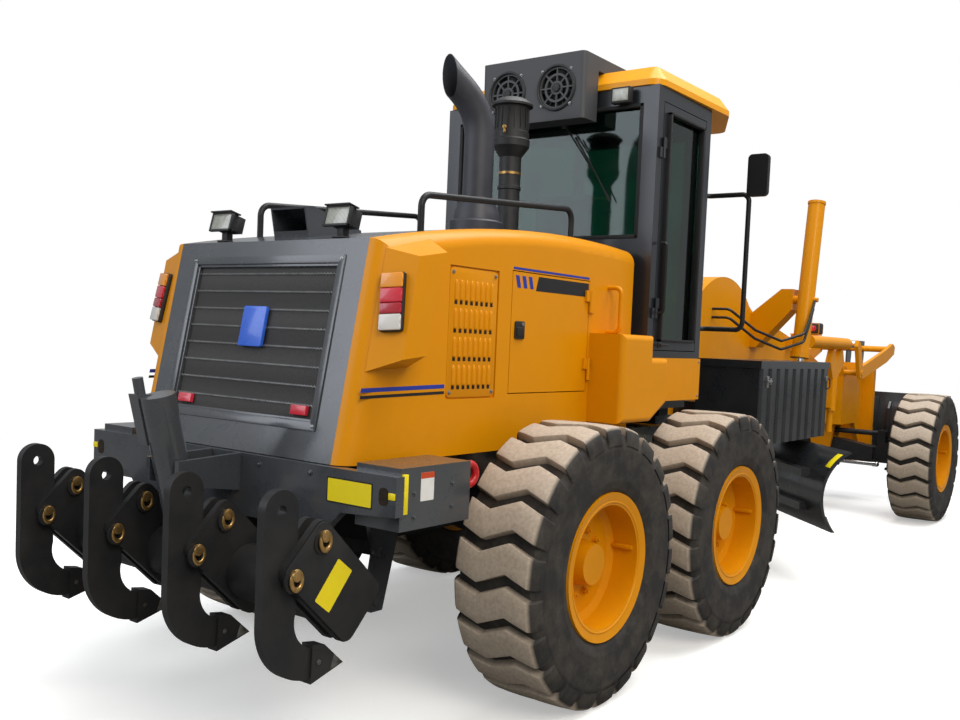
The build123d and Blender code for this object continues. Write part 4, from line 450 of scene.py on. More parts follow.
def bolt_circle(count, radius, offset=0.0):
    """Points evenly spaced round the Y axis."""
    turns = [2 * math.pi * (n + offset) / count for n in range(count)]
    return [(radius * math.cos(turn), radius * math.sin(turn)) for turn in turns]


parts = [joined([lathe(LOCK_RING, 96), lathe(INNER_BEAD, 96)]), lathe(HUB_CAP, 48)]
for x, z in bolt_circle(10, NUT_CIRCLE):
    # a washer, a hexagon nut and the stud's end
    for start, end, radius, sides, bevel in (
            (-0.002, 0.006, 0.0185, 20, 0.001), (0.006, 0.024, 0.015, 6, 0.0015),
            (0.024, 0.033, 0.0075, 12, 0.001)):
        parts.append(rod((x, RIM_DISC + start, z), (x, RIM_DISC + end, z), radius, sides, bevel))
parts += [rod((x, 0.096, z), (x, 0.1015, z), 0.0065, 6, 0.0008)
          for x, z in bolt_circle(6, CAP_CIRCLE, 0.25)]
for n in (0, 1):
    bar = block((-0.01, 0.05, 0.279), (0.01, 0.165, 0.299), 0.003)
    parts.append(moved(bar, Matrix.Rotation(math.pi * (n + 0.55), 4, "Y")))
wheel_trim = joined(parts)
valve_stem = joined([rod((0.0, 0.11, 0.262), (0.0, 0.172, 0.302), 0.0048, 12, 0.0006),
                     rod((0.0, 0.095, 0.2522), (0.0, 0.112, 0.2635), 0.0068, 12, 0.001)])
# black moulded rubber over a brass valve stem, dusty in patches
valve_rubber = surface("dusty_valve_rubber", "#1d1c1b", "#4a443d", 0.02, 0.6, 0.0003, 0.002)
for wheel, hub in WHEELS.items():
    settle(copy_of(wheel_trim, hub), f"rim_lock_ring_and_nuts_{wheel}", yellow_enamel,
           f"wheel_{wheel}")
    settle(copy_of(valve_stem, hub), f"valve_stem_{wheel}", valve_rubber, f"wheel_{wheel}")
for pattern in (wheel_trim, valve_stem):
    bpy.data.objects.remove(pattern)


# Rear grille. A mitred frame of folded steel strip holds a black woven screen over the radiator;
# eight crimped wires cross it, and a blank blue enamel square sits in its middle.
REAR = Matrix(((0, 0.1871, -0.9823, -4.356), (-1, 0, 0, 0), (0, 0.9823, 0.1871, 1.19), (0, 0, 0, 1)))
OUT_X, IN_X, OUT_LOW, IN_LOW, IN_HIGH, OUT_HIGH = 0.519, 0.484, 0.126, 0.162, 0.853, 0.889
LIP = 0.012
WIRES, WIRE_LOW, WIRE_PITCH = 8, 0.232, 0.0825
CRIMPS, CRIMP, CRIMP_PITCH = 96, 0.0036, 0.01


def plated(corners, low, high, matrix, bevel=0.0):
    """A plate cut to an outline in a matrix's XY plane, between two levels along its Z."""
    item = drawn([(x, y, low) for x, y in corners])
    bpy.ops.mesh.edge_face_add()
    bpy.ops.mesh.extrude_region_move(TRANSFORM_OT_translate={"value": (0, 0, high - low)})
    closed_up()
    if bevel:
        shape(item, "BEVEL", width=bevel, segments=2, limit_method="ANGLE", angle_limit=math.radians(50))
    return moved(item, matrix)


def curved(start, corner, end, steps):
    """Points along the arc from start to end that bends towards a corner."""
    shares = [step / steps for step in range(steps + 1)]
    return [start * (1 - t) ** 2 + corner * 2 * t * (1 - t) + end * t ** 2 for t in shares]


def rounded(corners, radius, steps=4):
    """An outline with its corners rounded."""
    outline = []
    for n, corner in enumerate(corners):
        here = Vector(corner)
        start = here + (Vector(corners[n - 1]) - here).normalized() * radius
        end = here + (Vector(corners[(n + 1) % len(corners)]) - here).normalized() * radius
        outline += [tuple(point) for point in curved(start, here, end, steps)]
    return outline


def oblong(x0, x1, y0, y1, radius):
    """A rectangle's outline with rounded corners."""
    return rounded(((x0, y0), (x1, y0), (x1, y1), (x0, y1)), radius)


def pipe(route, radius, sides=12, bend=0.0, steps=6, capped=True):
    """A tube along a route, its corners rounded to a bend radius."""
    points = [Vector(route[0])]
    for back, here, on in zip(route, route[1:], route[2:]):
        back, here, on = Vector(back), Vector(here), Vector(on)
        reach = min(bend, (here - back).length * 0.49, (on - here).length * 0.49)
        start, end = here + (back - here).normalized() * reach, here + (on - here).normalized() * reach
        points += curved(start, here, end, steps) if bend else [here]
    points.append(Vector(route[-1]))
    path = bpy.data.curves.new("path", "CURVE")
    path.dimensions = "3D"
    path.bevel_depth = radius
    path.bevel_resolution = max(0, sides // 4 - 1)
    path.use_fill_caps = capped
    line = path.splines.new("POLY")
    line.points.add(len(points) - 1)
    for spot, point in zip(line.points, points):
        spot.co = (*point, 1)
    item = bpy.data.objects.new("path", path)
    bpy.context.scene.collection.objects.link(item)
    select_only(item)
    bpy.ops.object.convert(target="MESH")
    return bpy.context.active_object


def screw(spot, axis, size):
    """A button-headed screw: a washer with a domed head on it."""
    axis, spot = Vector(axis).normalized(), Vector(spot)
    return joined([rod(spot - axis * 0.002, spot + axis * size * 0.2, size, 20, size * 0.06),
                   rod(spot, spot + axis * size * 0.85, size * 0.62, 6, size * 0.12)])


def mitred(x0, x1, low0, low1, high1, high0, back, front, bevel):
    """Four strips that meet at their corners on a diagonal, between an outer and an inner oblong."""
    outer, inner = ((-x0, low0), (x0, low0), (x0, high0), (-x0, high0)), (
        (-x1, low1), (x1, low1), (x1, high1), (-x1, high1))
    strips = [(outer[n], outer[(n + 1) % 4], inner[(n + 1) % 4], inner[n]) for n in range(4)]
    return joined([plated(strip, back, front, REAR, bevel) for strip in strips])


grille_frame = joined([
    mitred(OUT_X, IN_X, OUT_LOW, IN_LOW, IN_HIGH, OUT_HIGH, -0.036, 0.006, 0.0012),
    mitred(IN_X, IN_X - LIP, IN_LOW, IN_LOW + LIP, IN_HIGH - LIP, IN_HIGH, -0.034, -0.002, 0.001)])
settle(grille_frame, "grille_mitred_frame", grey_enamel)
screen = plated(oblong(-0.478, 0.478, 0.168, 0.847, 0.01), -0.030, -0.016, REAR)
woven, tree, shader, place = start_material("black_woven_wire_screen")
# cells of the weave, 7 mm wide and 5 mm tall: the wires are black paint, and the near-black cell middles
# are painted shade, the dark seen through the openings
stretch = add_node(tree, "ShaderNodeMapping", {"Vector": place, "Scale": (0.2, 1.0, 1.4)})
cells = add_node(tree, "ShaderNodeTexVoronoi", {
    "Vector": stretch.outputs["Vector"], "Scale": 140.0, "Randomness": 0.25}).outputs["Distance"]
fill(tree, shader, {
    "Base Color": blend(tree, remap(tree, cells, 0.25, 0.62), linear("#0b0b0b"), linear("#3a3836")),
    "Roughness": 0.62, "Normal": bumped(tree, cells, 0.8, 0.002)})
settle(screen, "grille_woven_screen", woven)
for made in (screen, grille_frame):
    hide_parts("grille")

wires = []
for row in range(WIRES):
    level = WIRE_LOW + WIRE_PITCH * row
    heights = [level + (CRIMP if n % 2 else -CRIMP) for n in range(CRIMPS)]
    wires.append(pipe([REAR @ Vector((-0.478 + CRIMP_PITCH * n, height, -0.012))
                       for n, height in enumerate(heights)], 0.0024, 8))
# galvanised steel, its zinc dulled to grey
zinc = surface("zinc_plated_steel", "#b4b5b3", "#77787a", 0.03, 0.32, 0.0002, 0.002, metallic=0.85)
settle(wires, "grille_crimped_wires", zinc)
corner_screws = [screw(REAR @ Vector((x, y, 0.006)), REAR.to_3x3() @ Vector((0, 0, 1)), 0.009)
                 for x in (-0.501, 0.501) for y in (0.144, 0.871)]
settle(corner_screws, "grille_corner_screws", zinc)
badge = plated(oblong(-0.078, 0.078, 0.47, 0.655, 0.012), -0.010, 0.007, REAR, 0.0015)
# stove enamel on pressed steel, one even blue
blue_enamel = surface("blue_stove_enamel", "#2a63d8", "#3169dc", 0.08, 0.22, 0.0001, 0.004, coat=0.3)
settle(badge, "blank_blue_plate", blue_enamel)


# Tail lamps. On each pod stands a tall cluster lamp: a black housing with an amber, two red and
# a clear acrylic lens one above another; two oblong red reflectors are screwed over the grille.
POD_IN = (Vector((-4.1536, -0.715, 2.095)), Vector((-4.2527, -0.715, 1.575)))
POD_OUT = (Vector((-4.1153, -0.870, 2.060)), Vector((-4.1968, -0.870, 1.632)))
across = ((POD_OUT[0] + POD_OUT[1]) - (POD_IN[0] + POD_IN[1])).normalized()
rise = ((POD_IN[0] + POD_OUT[0]) - (POD_IN[1] + POD_OUT[1])).normalized()
outward = across.cross(rise).normalized()
LAMP = (Matrix.Translation((POD_IN[0] + POD_IN[1] + POD_OUT[0] + POD_OUT[1]) / 4)
        @ Matrix((across, outward.cross(across), outward)).transposed().to_4x4())
LAMP_LOW, LAMP_HIGH = -0.1, 0.15
# black moulded polypropylene with a fine spark-eroded grain
black_plastic = surface("black_moulded_plastic", "#191a1b", "#2a2a2a", 0.05, 0.48, 0.0003, 0.0015)


def wave(tree, place, scale, axis, distortion=0.0, detail=2.0):
    """Parallel waves that follow one another along an axis."""
    return add_node(tree, "ShaderNodeTexWave", {
        "Vector": place, "Scale": scale, "Distortion": distortion, "Detail": detail},
        bands_direction=axis).outputs["Fac"]


def lens_material(name, colour, deep):
    """Moulded acrylic with vertical prisms 4 mm wide behind a glossy face."""
    material, tree, shader, place = start_material(name)
    prisms = wave(tree, place, 78.0, "Y")
    fill(tree, shader, {
        "Base Color": blend(tree, prisms, linear(deep), linear(colour)), "Roughness": 0.18,
        "Coat Weight": 0.6, "Coat Roughness": 0.05, "Normal": bumped(tree, prisms, 0.3, 0.0008)})
    return material


def mirrored(item):
    """The same piece for the machine's other side."""
    twin = copy_of(item, Matrix.Scale(-1, 4, (0, 1, 0)))
    twin.data.flip_normals()
    return twin


def both(piece, name, material, body="rear_body"):
    """Settles a right-hand piece and its mirror image; {side} in a body's name is right or left."""
    item = joined(piece) if isinstance(piece, list) else piece
    return [settle(made, f"{name}_{side}", material, body.format(side=side))
            for side, made in (("right", item), ("left", mirrored(item)))]


amber_lens = lens_material("amber_acrylic_lens", "#f7a92e", "#d97c12")
red_lens = lens_material("red_acrylic_lens", "#e2384e", "#b3121c")
dark_red_lens = lens_material("deep_red_acrylic_lens", "#c01f33", "#8d0a1a")
clear_lens = lens_material("clear_acrylic_lens", "#e9e7e2", "#b9b4ae")
housing = plated(oblong(-0.054, 0.054, LAMP_LOW, LAMP_HIGH, 0.014), 0.0, 0.020, LAMP, 0.003)
for made in both(housing, "tail_lamp_housing", black_plastic):
    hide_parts("lamps")
for label, low, high, lens in (
        ("amber", 0.083, 0.146, amber_lens), ("red", 0.020, 0.081, red_lens),
        ("brake", -0.027, 0.018, dark_red_lens), ("clear", -0.096, -0.029, clear_lens)):
    window = plated(oblong(-0.049, 0.049, low, high, 0.008), 0.018, 0.033, LAMP, 0.004)
    both(window, f"tail_lamp_{label}_lens", lens)
reflector = plated(oblong(-0.047, 0.047, 0.187, 0.229, 0.004), -0.014, 0.006, REAR, 0.002)
reflector = moved(reflector, Matrix.Translation((0, -0.395, 0)))
for made in both(reflector, "red_reflector", red_lens):
    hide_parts("lamps")


# Hood lamps. Two oblong work lamps stand on brackets at the hood's rear edge and light the ground
# behind: cast housings with cooling ribs and a visor, round a bright reflector under ribbed glass.
LAMP_AXIS = Matrix.Translation((-4.121, -0.4, 2.238)) @ Matrix.Rotation(math.radians(14), 4, "Y")
RIBS, RIB_PITCH = 9, 0.0145
bowl = block((-0.012, -0.076, -0.047), (0.052, 0.076, 0.047), 0.006)
for vertex in bowl.data.vertices:
    # the bowl narrows behind its rim
    if vertex.co.x > 0.02:
        vertex.co.y *= 0.72
        vertex.co.z = vertex.co.z * 0.70 + 0.006
ribs = [block((0.020, -0.058 + RIB_PITCH * n, -0.036), (0.072, -0.054 + RIB_PITCH * n, 0.042), 0.001)
        for n in range(RIBS)]
rim_parts = [block((-0.020, -0.078, z0), (-0.004, 0.078, z1), 0.0015)
             for z0, z1 in ((0.038, 0.048), (-0.048, -0.038))]
rim_parts += [block((-0.020, y0, -0.048), (-0.004, y1, 0.048), 0.0015)
              for y0, y1 in ((-0.078, -0.068), (0.068, 0.078))]
visor = block((-0.034, -0.078, 0.043), (0.030, 0.078, 0.050), 0.002)
hood_lamp = moved(joined([bowl, joined(rim_parts), visor] + ribs), LAMP_AXIS)
# with the stem and foot of its bracket
hood_lamp = joined([hood_lamp, block((-4.118, -0.42, 2.148), (-4.082, -0.38, 2.2), 0.003),
                    block((-4.13, -0.44, 2.146), (-4.06, -0.36, 2.153), 0.002)])
pane = moved(block((-0.0165, -0.068, -0.038), (-0.010, 0.068, 0.038), 0.002), LAMP_AXIS)
# pressed lamp glass, ribbed every 8 mm over a dulled reflector
lamp_glass, tree, shader, place = start_material("ribbed_lamp_glass")
flutes = wave(tree, place, 39.0, "Y", 1.5, 1.0)
depth = product(tree, flutes, noise(tree, place, 22.0, 3.0))
fill(tree, shader, {
    "Base Color": blend(tree, depth, linear("#777a6c"), linear("#f1f1e8")), "Roughness": 0.14,
    "Coat Weight": 0.8, "Normal": bumped(tree, flutes, 0.35, 0.001)})
for made in both(hood_lamp, "hood_lamp", black_plastic):
    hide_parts("work_lamps")
both(pane, "hood_lamp_glass", lamp_glass)


# Hood sides. A louvred steel cover is screwed into each side panel; adhesive vinyl stripes in blue
# and black run behind it and over the engine door, which shuts with a black paddle latch.
def facing_right(y, x=0.0):
    """An upright face that looks to the machine's right: X runs forward, Y up and Z outward."""
    return Matrix(((1, 0, 0, x), (0, 0, -1, y), (0, 1, 0, 0), (0, 0, 0, 1)))


SIDE = facing_right(-0.73, -2.381)
VINYL = 0.0008
LOUVRES = [(-1.318 + 0.038 * column, 1.56 + 0.13 * row) for column in range(8) for row in range(4)]
LOUVRE = ((0.0, -0.048), (0.006, -0.048), (0.0115, -0.043), (0.0115, 0.025), (0.009, 0.04), (0.0, 0.05))
cover = [plated(oblong(-1.363, -1.007, 1.457, 2.053, 0.03), -0.0115, -0.003, SIDE, 0.0015)]
mouths = []
for x, z in LOUVRES:
    flattened = Matrix.Diagonal((1, 1, 0.75, 1))
    cover.append(moved(lathe(LOUVRE, 14), SIDE @ Matrix.Translation((x, z, -0.0035)) @ flattened))
    mouth = ((x - 0.011, z - 0.066), (x + 0.011, z - 0.066), (x + 0.009, z - 0.044), (x - 0.009, z - 0.044))
    mouths.append(plated(rounded(mouth, 0.006), -0.006, -0.0026, SIDE))
screws = [screw(SIDE @ Vector((x, z, -0.003)), (0, -1, 0), 0.01)
          for x in (-1.343, -1.027) for z in (1.48, 2.03)]
# black vinyl film, and the same in blue
black_vinyl = surface("black_vinyl_film", "#141416", "#1c1c1f", 0.2, 0.3, 0.00005, 0.003)
blue_vinyl = surface("blue_vinyl_film", "#1f3396", "#24399e", 0.2, 0.3, 0.00005, 0.003)
# painted shade: dark sheets inside the louvres' open lower ends, and in the bumper's notches
shade = surface("painted_shade_in_openings", "#2a1a06", "#140d04", 0.02, 0.9)


def vinyl_strip(*corners):
    """A strip of vinyl on a hood side."""
    return plated(corners, 0.0, VINYL, SIDE)


stripes = [vinyl_strip((-1.908, 1.49), (-1.38, 1.501), (-1.38, 1.519), (-1.904, 1.508)),
           vinyl_strip((-0.888, 2.08), (-0.18, 2.08), (-0.18, 2.092), (-0.888, 2.092))]
dark_stripe = vinyl_strip((-1.912, 1.464), (-1.38, 1.475), (-1.38, 1.488), (-1.909, 1.477))
both(cover, "louvred_cover", yellow_enamel)
both(mouths, "louvre_mouth_painted_shade", shade)
both(screws, "cover_screws", zinc)
both(stripes, "blue_stripes", blue_vinyl)
both(dark_stripe, "black_stripe", black_vinyl)

band = vinyl_strip((-0.69, 1.985), (-0.185, 1.985), (-0.185, 2.058), (-0.668, 2.058))
bars = [vinyl_strip((x, 1.992), (x + 0.03, 1.992), (x + 0.012, 2.052), (x - 0.018, 2.052))
        for x in (-0.85, -0.795, -0.74)]
latch = joined([plated(oblong(-0.862, -0.784, 1.738, 1.827, 0.01), 0.0, 0.0095, SIDE, 0.002),
                plated(oblong(-0.853, -0.793, 1.752, 1.797, 0.006), 0.0, 0.016, SIDE, 0.003)])
lock = rod(SIDE @ Vector((-0.805, 1.811, 0.0)), SIDE @ Vector((-0.805, 1.811, 0.015)), 0.009, 20, 0.001)
both(band, "black_band", black_vinyl, "engine_door_{side}")
both(bars, "slanted_blue_bars", blue_vinyl, "engine_door_{side}")
both(latch, "paddle_latch", black_plastic, "engine_door_{side}")
both(lock, "latch_lock", zinc, "engine_door_{side}")


# Stacks. The exhaust is a steel tube that rises through a sheet collar, elbows to the rear and ends
# in a slanting mouth; the air intake beside it carries a spinning pre-cleaner under a brimmed cap.
EXHAUST_X, EXHAUST_Y = -2.865, -0.16
INTAKE_X, INTAKE_Y = -2.491, -0.1
COLLAR = ((0.0875, 2.264), (0.152, 2.264), (0.152, 2.372), (0.146, 2.38), (0.134, 2.384), (0.127, 2.432),
          (0.094, 2.5), (0.094, 2.512), (0.0875, 2.512))
INTAKE = ((0.0, 2.264), (0.064, 2.264), (0.064, 2.61), (0.07, 2.615), (0.07, 2.632), (0.064, 2.637),
          (0.064, 2.8), (0.088, 2.835), (0.108, 2.862), (0.11, 2.9), (0.104, 2.908), (0.104, 2.945),
          (0.098, 2.95), (0.096, 3.082), (0.1, 3.09), (0.121, 3.096), (0.1215, 3.108), (0.112, 3.118),
          (0.085, 3.138), (0.045, 3.15), (0.0, 3.153))
CLAMP = ((0.0645, 2.7), (0.0672, 2.7), (0.0672, 2.714), (0.0645, 2.714))
VANES = 16


def upright(profile, steps, x, y):
    """A closed shape turned about a vertical axis: (radius, height) points, at a place in plan."""
    return moved(lathe(profile, steps),
                 Matrix.Translation((x, y, 0)) @ Matrix.Rotation(math.pi / 2, 4, "X"))


tube = pipe([(EXHAUST_X, EXHAUST_Y, 2.3), (EXHAUST_X, EXHAUST_Y, 2.985),
             (EXHAUST_X - 0.3, EXHAUST_Y + 0.115, 3.235)], 0.084, 48, 0.16, 12, capped=False)
bpy.ops.object.mode_set(mode="EDIT")
bpy.ops.mesh.select_all(action="SELECT")
bpy.ops.mesh.bisect(plane_co=(-3.05, -0.09, 3.1), plane_no=(0.93, -0.36, 0.1), clear_inner=True)
bpy.ops.object.mode_set(mode="OBJECT")
shape(tube, "SOLIDIFY", thickness=0.005, offset=-1)
seam = pipe([(EXHAUST_X + 0.0845, EXHAUST_Y, 2.52), (EXHAUST_X + 0.0845, EXHAUST_Y, 2.9)], 0.002, 8)
# heat-proof satin black over steel, faded in broad patches
stack_black = surface("heat_proof_satin_black", "#2c2d34", "#42434a", 0.35, 0.42, 0.0003, 0.003)
exhaust = joined([tube, upright(COLLAR, 12, EXHAUST_X, EXHAUST_Y), seam])
settle(exhaust, "exhaust_stack", stack_black)
intake = [upright(INTAKE, 56, INTAKE_X, INTAKE_Y)]
for n in range(VANES):
    vane = block((0.088, -0.0015, 2.962), (0.103, 0.0015, 3.08), 0.0006)
    turn = Matrix.Rotation(2 * math.pi * n / VANES, 4, "Z")
    intake.append(moved(vane, Matrix.Translation((INTAKE_X, INTAKE_Y, 0)) @ turn))
intake = settle(intake, "intake_precleaner", black_plastic)
for made in (exhaust, intake):
    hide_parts("stacks")
# brass-plated band clamp and drain fitting
brass = surface("brass_plated_steel", "#c9a46a", "#a07c45", 0.02, 0.28, 0.0001, 0.002, metallic=0.9)
drain = joined([rod((-2.585, -0.125, 2.955), (-2.61, -0.135, 2.958), 0.013, 6, 0.001),
                rod((-2.6, -0.13, 2.957), (-2.6, -0.13, 2.925), 0.008, 16, 0.001)])
settle([upright(CLAMP, 40, INTAKE_X, INTAKE_Y), drain], "intake_clamp_and_fitting", brass)


# Air conditioner. A vacuum-formed plastic box hangs over the cab's rear edge, left unpainted; two
# axial fans of seven pitched blades blow out of it, each in a ring held by four plated screws.
FAN_Z, FAN_BLADES, BLADE_PITCH, SCREW_REACH = 3.275, 7, 0.5, 0.104
FAN_RING = ((0.124, 0.0), (0.137, 0.0), (0.141, -0.004), (0.137, -0.01), (0.128, -0.011), (0.124, -0.006))
# unpainted ABS with a fine moulded grain, greyed by dust
case_plastic = enamel("dark_grey_case_plastic", "#47494c", "#6d6962", 0.5, 0.3, 0.4, 0.0)
dress(case_plastic, "ac_unit")
fans, fan_screws = [], []
for y in (-0.185, 0.185):
    fans += [rod((-2.16, y, FAN_Z), (-2.12, y, FAN_Z), 0.036, 28, 0.004),
             rod((-2.181, y, FAN_Z), (-2.174, y, FAN_Z), 0.026, 28, 0.002)]
    for n in range(FAN_BLADES):
        blade = block((-0.006, 0.03, -0.026), (0.0, 0.116, 0.026), 0.002)
        turn = Matrix.Rotation(2 * math.pi * n / FAN_BLADES, 4, "X") @ Matrix.Rotation(BLADE_PITCH, 4, "Y")
        fans.append(moved(blade, Matrix.Translation((-2.138, y, FAN_Z)) @ turn))
    ring_place = Matrix.Translation((-2.171, y, FAN_Z)) @ Matrix.Rotation(-math.pi / 2, 4, "Z")
    fans.append(moved(lathe(FAN_RING, 64), ring_place))
    fan_screws += [screw((-2.174, y + dy, FAN_Z + dz), (-1, 0, 0), 0.01)
                   for dy in (-SCREW_REACH, SCREW_REACH) for dz in (-SCREW_REACH, SCREW_REACH)]
settle(fans, "condenser_fans", black_plastic)
settle(fan_screws, "condenser_screws", zinc)


# Cab. A welded frame of folded posts carries tinted safety glass set in rubber; a wiper parks on the
# rear pane and a work lamp looks back from under each rear corner of the roof.
REAR_SEAL = ((-0.7, 0.7, 2.37, 2.394), (-0.7, 0.7, 3.146, 3.17),
             (-0.7, -0.676, 2.37, 3.17), (0.676, 0.7, 2.37, 3.17))
DOOR_SEAL = ((-1.872, -1.395, 1.76, 1.778), (-1.872, -1.395, 3.112, 3.13),
             (-1.872, -1.854, 1.76, 3.13), (-1.413, -1.395, 1.76, 3.13))
# extruded black rubber, faintly bloomed
window_rubber = surface("window_seal_rubber", "#111213", "#1d1e20", 0.06, 0.6, 0.0002, 0.002)
seals = [block((-2.001, y0, z0), (-1.972, y1, z1), 0.005) for y0, y1, z0, z1 in REAR_SEAL]
settle(seals, "rear_window_seal", window_rubber)
for side, hand in (("right", -1), ("left", 1)):
    door = f"cab_door_{side}"
    seals = [block((x0, hand * 0.79, z0), (x1, hand * 0.826, z1), 0.004) for x0, x1, z0, z1 in DOOR_SEAL]
    settle(seals, f"door_window_seal_{side}", window_rubber, door)
    lever = [block((-1.905, hand * 0.82, 1.722), (-1.86, hand * 0.832, 1.756), 0.004),
             block((-1.895, hand * 0.83, 1.732), (-1.79, hand * 0.846, 1.748), 0.005)]
    settle(lever, f"door_lever_{side}", black_plastic, door)
    grip = pipe([(-1.912, hand * 0.818, 1.93), (-1.912, hand * 0.856, 1.935), (-1.912, hand * 0.856, 2.345),
                 (-1.912, hand * 0.818, 2.35)], 0.009, 12, 0.025)
    settle(grip, f"door_grab_rail_{side}", black_enamel, door)

wiper_arm = joined([
    rod((-2.004, -0.15, 3.085), (-1.975, -0.15, 3.085), 0.017, 20, 0.002),
    block((-2.012, -0.172, 3.062), (-2.003, -0.128, 3.105), 0.003),
    pipe([(-2.008, -0.155, 3.08), (-2.011, -0.33, 2.85), (-2.008, -0.385, 2.78)], 0.0052, 8, 0.02)])
wiper_blade = joined([
    pipe([(-2.01, -0.235, 3.0), (-2.014, -0.385, 2.79), (-2.01, -0.5, 2.6)], 0.0045, 8, 0.03),
    pipe([(-2.003, -0.238, 3.004), (-2.003, -0.503, 2.604)], 0.004, 8)])
settle([wiper_arm, wiper_blade], "rear_wiper", black_enamel)

roof_lamp = [block((-2.065, -0.64, 3.165), (-2.018, -0.51, 3.262), 0.008),
             block((-2.02, -0.6, 3.18), (-1.994, -0.55, 3.25), 0.003)]
both(roof_lamp, "roof_lamp", black_plastic)
roof_pane = block((-2.069, -0.628, 3.178), (-2.062, -0.522, 3.25), 0.003)
both(roof_pane, "roof_lamp_glass", lamp_glass)
beacon_stub = [rod((-1.35, -0.3, 3.38), (-1.35, -0.3, 3.402), 0.02, 20, 0.003),
               rod((-1.35, -0.3, 3.4), (-1.35, -0.3, 3.452), 0.011, 16, 0.004)]
settle(beacon_stub, "roof_beacon_stub", amber_lens)

# float glass tinted green through its thickness, faintly smeared
glass, tree, shader, place = start_material("green_tinted_safety_glass")
smears = noise(tree, place, 3.0, 6.0)
fill(tree, shader, {
    "Base Color": blend(tree, smears, linear("#3a7060"), linear("#4c8471")),
    "Roughness": remap(tree, smears, 0.0, 1.0, 0.01, 0.10), "IOR": 1.5, "Transmission Weight": 1.0})
dress(glass, "cab_glass", "door_glass_right", "door_glass_left")


# Operator's seat. Foam cushions in woven grey cloth on a sprung pedestal with bellows: a seat and a
# tall back, with the steering column and its wheel ahead.
SWELL, CLOTH_FRAMES, BELLOWS = 0.012, 20, 8
STEERING_RING = ((0.187, 0.0), (0.193, 0.011), (0.205, 0.013), (0.212, 0.0), (0.205, -0.013),
                 (0.193, -0.011), (0.187, 0.0))


def cushion(low, high, swell, grid=0.008):
    """A stuffed pad between two corners: its skin is blown up by a cloth simulation."""
    pad = block(low, high, 0.02, 3)
    shape(pad, "REMESH", mode="VOXEL", voxel_size=grid * 1)
    before = [v.co.copy() for v in pad.data.vertices]
    select_only(pad)
    cloth = pad.modifiers.new("cloth", "CLOTH")
    cloth.settings.use_pressure = True
    cloth.settings.uniform_pressure_force = 4.0
    cloth.settings.effector_weights.gravity = 0.0
    cloth.point_cache.frame_start, cloth.point_cache.frame_end = 1, CLOTH_FRAMES
    for moment in range(1, CLOTH_FRAMES + 1):
        bpy.context.scene.frame_set(moment)
    bpy.ops.object.modifier_apply(modifier="cloth")
    bpy.context.scene.frame_set(1)
    for vertex, start in zip(pad.data.vertices, before):
        moved = vertex.co - start
        if moved.length > swell:
            vertex.co = start + moved.normalized() * swell
    shape(pad, "SUBSURF", levels=1)
    return pad


# woven polyester, threads about 2 mm apart
cloth_grey, tree, shader, place = start_material("woven_grey_seat_cloth")
threads = product(tree, wave(tree, place, 150.0, "Y", 2.0), wave(tree, place, 150.0, "Z", 2.0))
fill(tree, shader, {
    "Base Color": blend(tree, threads, linear("#17191b"), linear("#33373b")), "Roughness": 0.92,
    "Normal": bumped(tree, threads, 0.5, 0.001)})
for name, low, high in (("seat_cushion", (-1.76, -0.225, 2.095), (-1.315, 0.225, 2.185)),
                        ("seat_back", (-1.785, -0.215, 2.215), (-1.705, 0.215, 2.7))):
    pad = settle(cushion(low, high, SWELL), name, cloth_grey, angle=60)
    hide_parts("seat")
pedestal = [block((-1.7, -0.18, 1.682), (-1.38, 0.18, 1.73), 0.008)]
pedestal += [block((-1.66, -0.15, 1.745 + 0.036 * n), (-1.42, 0.15, 1.768 + 0.036 * n), 0.01)
             for n in range(BELLOWS)]
pedestal += [block((-1.755, -0.215, 2.04), (-1.33, 0.215, 2.085), 0.012),
             block((-1.797, -0.16, 2.1), (-1.782, 0.16, 2.64), 0.006)]
pedestal = settle(pedestal, "seat_pedestal_bellows", black_plastic)
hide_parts("seat")
column = pipe([(-1.02, 0, 1.69), (-1.06, 0, 2.15), (-1.12, 0, 2.33)], 0.045, 20, 0.10)
steering = joined([lathe(STEERING_RING, 48), block((-0.195, -0.005, -0.016), (0.195, 0.005, 0.016), 0.003),
                   block((-0.016, -0.006, -0.195), (0.016, 0.006, 0.02), 0.003)])
steering = moved(steering, Matrix.Translation((-1.135, 0, 2.365))
                 @ Matrix.Rotation(math.radians(-25), 4, "Y") @ Matrix.Rotation(math.pi / 2, 4, "X"))
settle([column, steering], "steering_column", black_plastic)


# Cab skirt. Yellow sheet covers below the door are held by plated button screws.
skirt_screws = [screw((x, -0.8352, z), (0, -1, 0), 0.008) for x in (-1.86, -1.345) for z in (1.425, 1.64)]
skirt_screws += [screw((-2.24, -0.7305, z), (0, -1, 0), 0.007) for z in (1.36, 1.55, 1.74)]
both(skirt_screws, "skirt_screws", zinc)


# Rear bumper. A flame-cut plate across the frame, with a step box at each end; blank vinyl plates
# mark it, a red towing ring is welded to each box and a yellow stop closes the notch at its end.
BUMPER = Matrix(((0, 0, -1, -4.3885), (-1, 0, 0, 0), (0, 1, 0, 0), (0, 0, 0, 1)))
BOX_SIDE = facing_right(-1.02)
# vinyl film in yellow, white and orange red
yellow_vinyl = surface("yellow_vinyl_film", "#f2dc12", "#ead30e", 0.1, 0.3, 0.00005, 0.003)
white_vinyl = surface("white_vinyl_film", "#e8e7e4", "#dddbd6", 0.05, 0.35, 0.00005, 0.003)
red_vinyl = surface("orange_red_vinyl_film", "#c9481c", "#bf4219", 0.05, 0.35, 0.00005, 0.003)
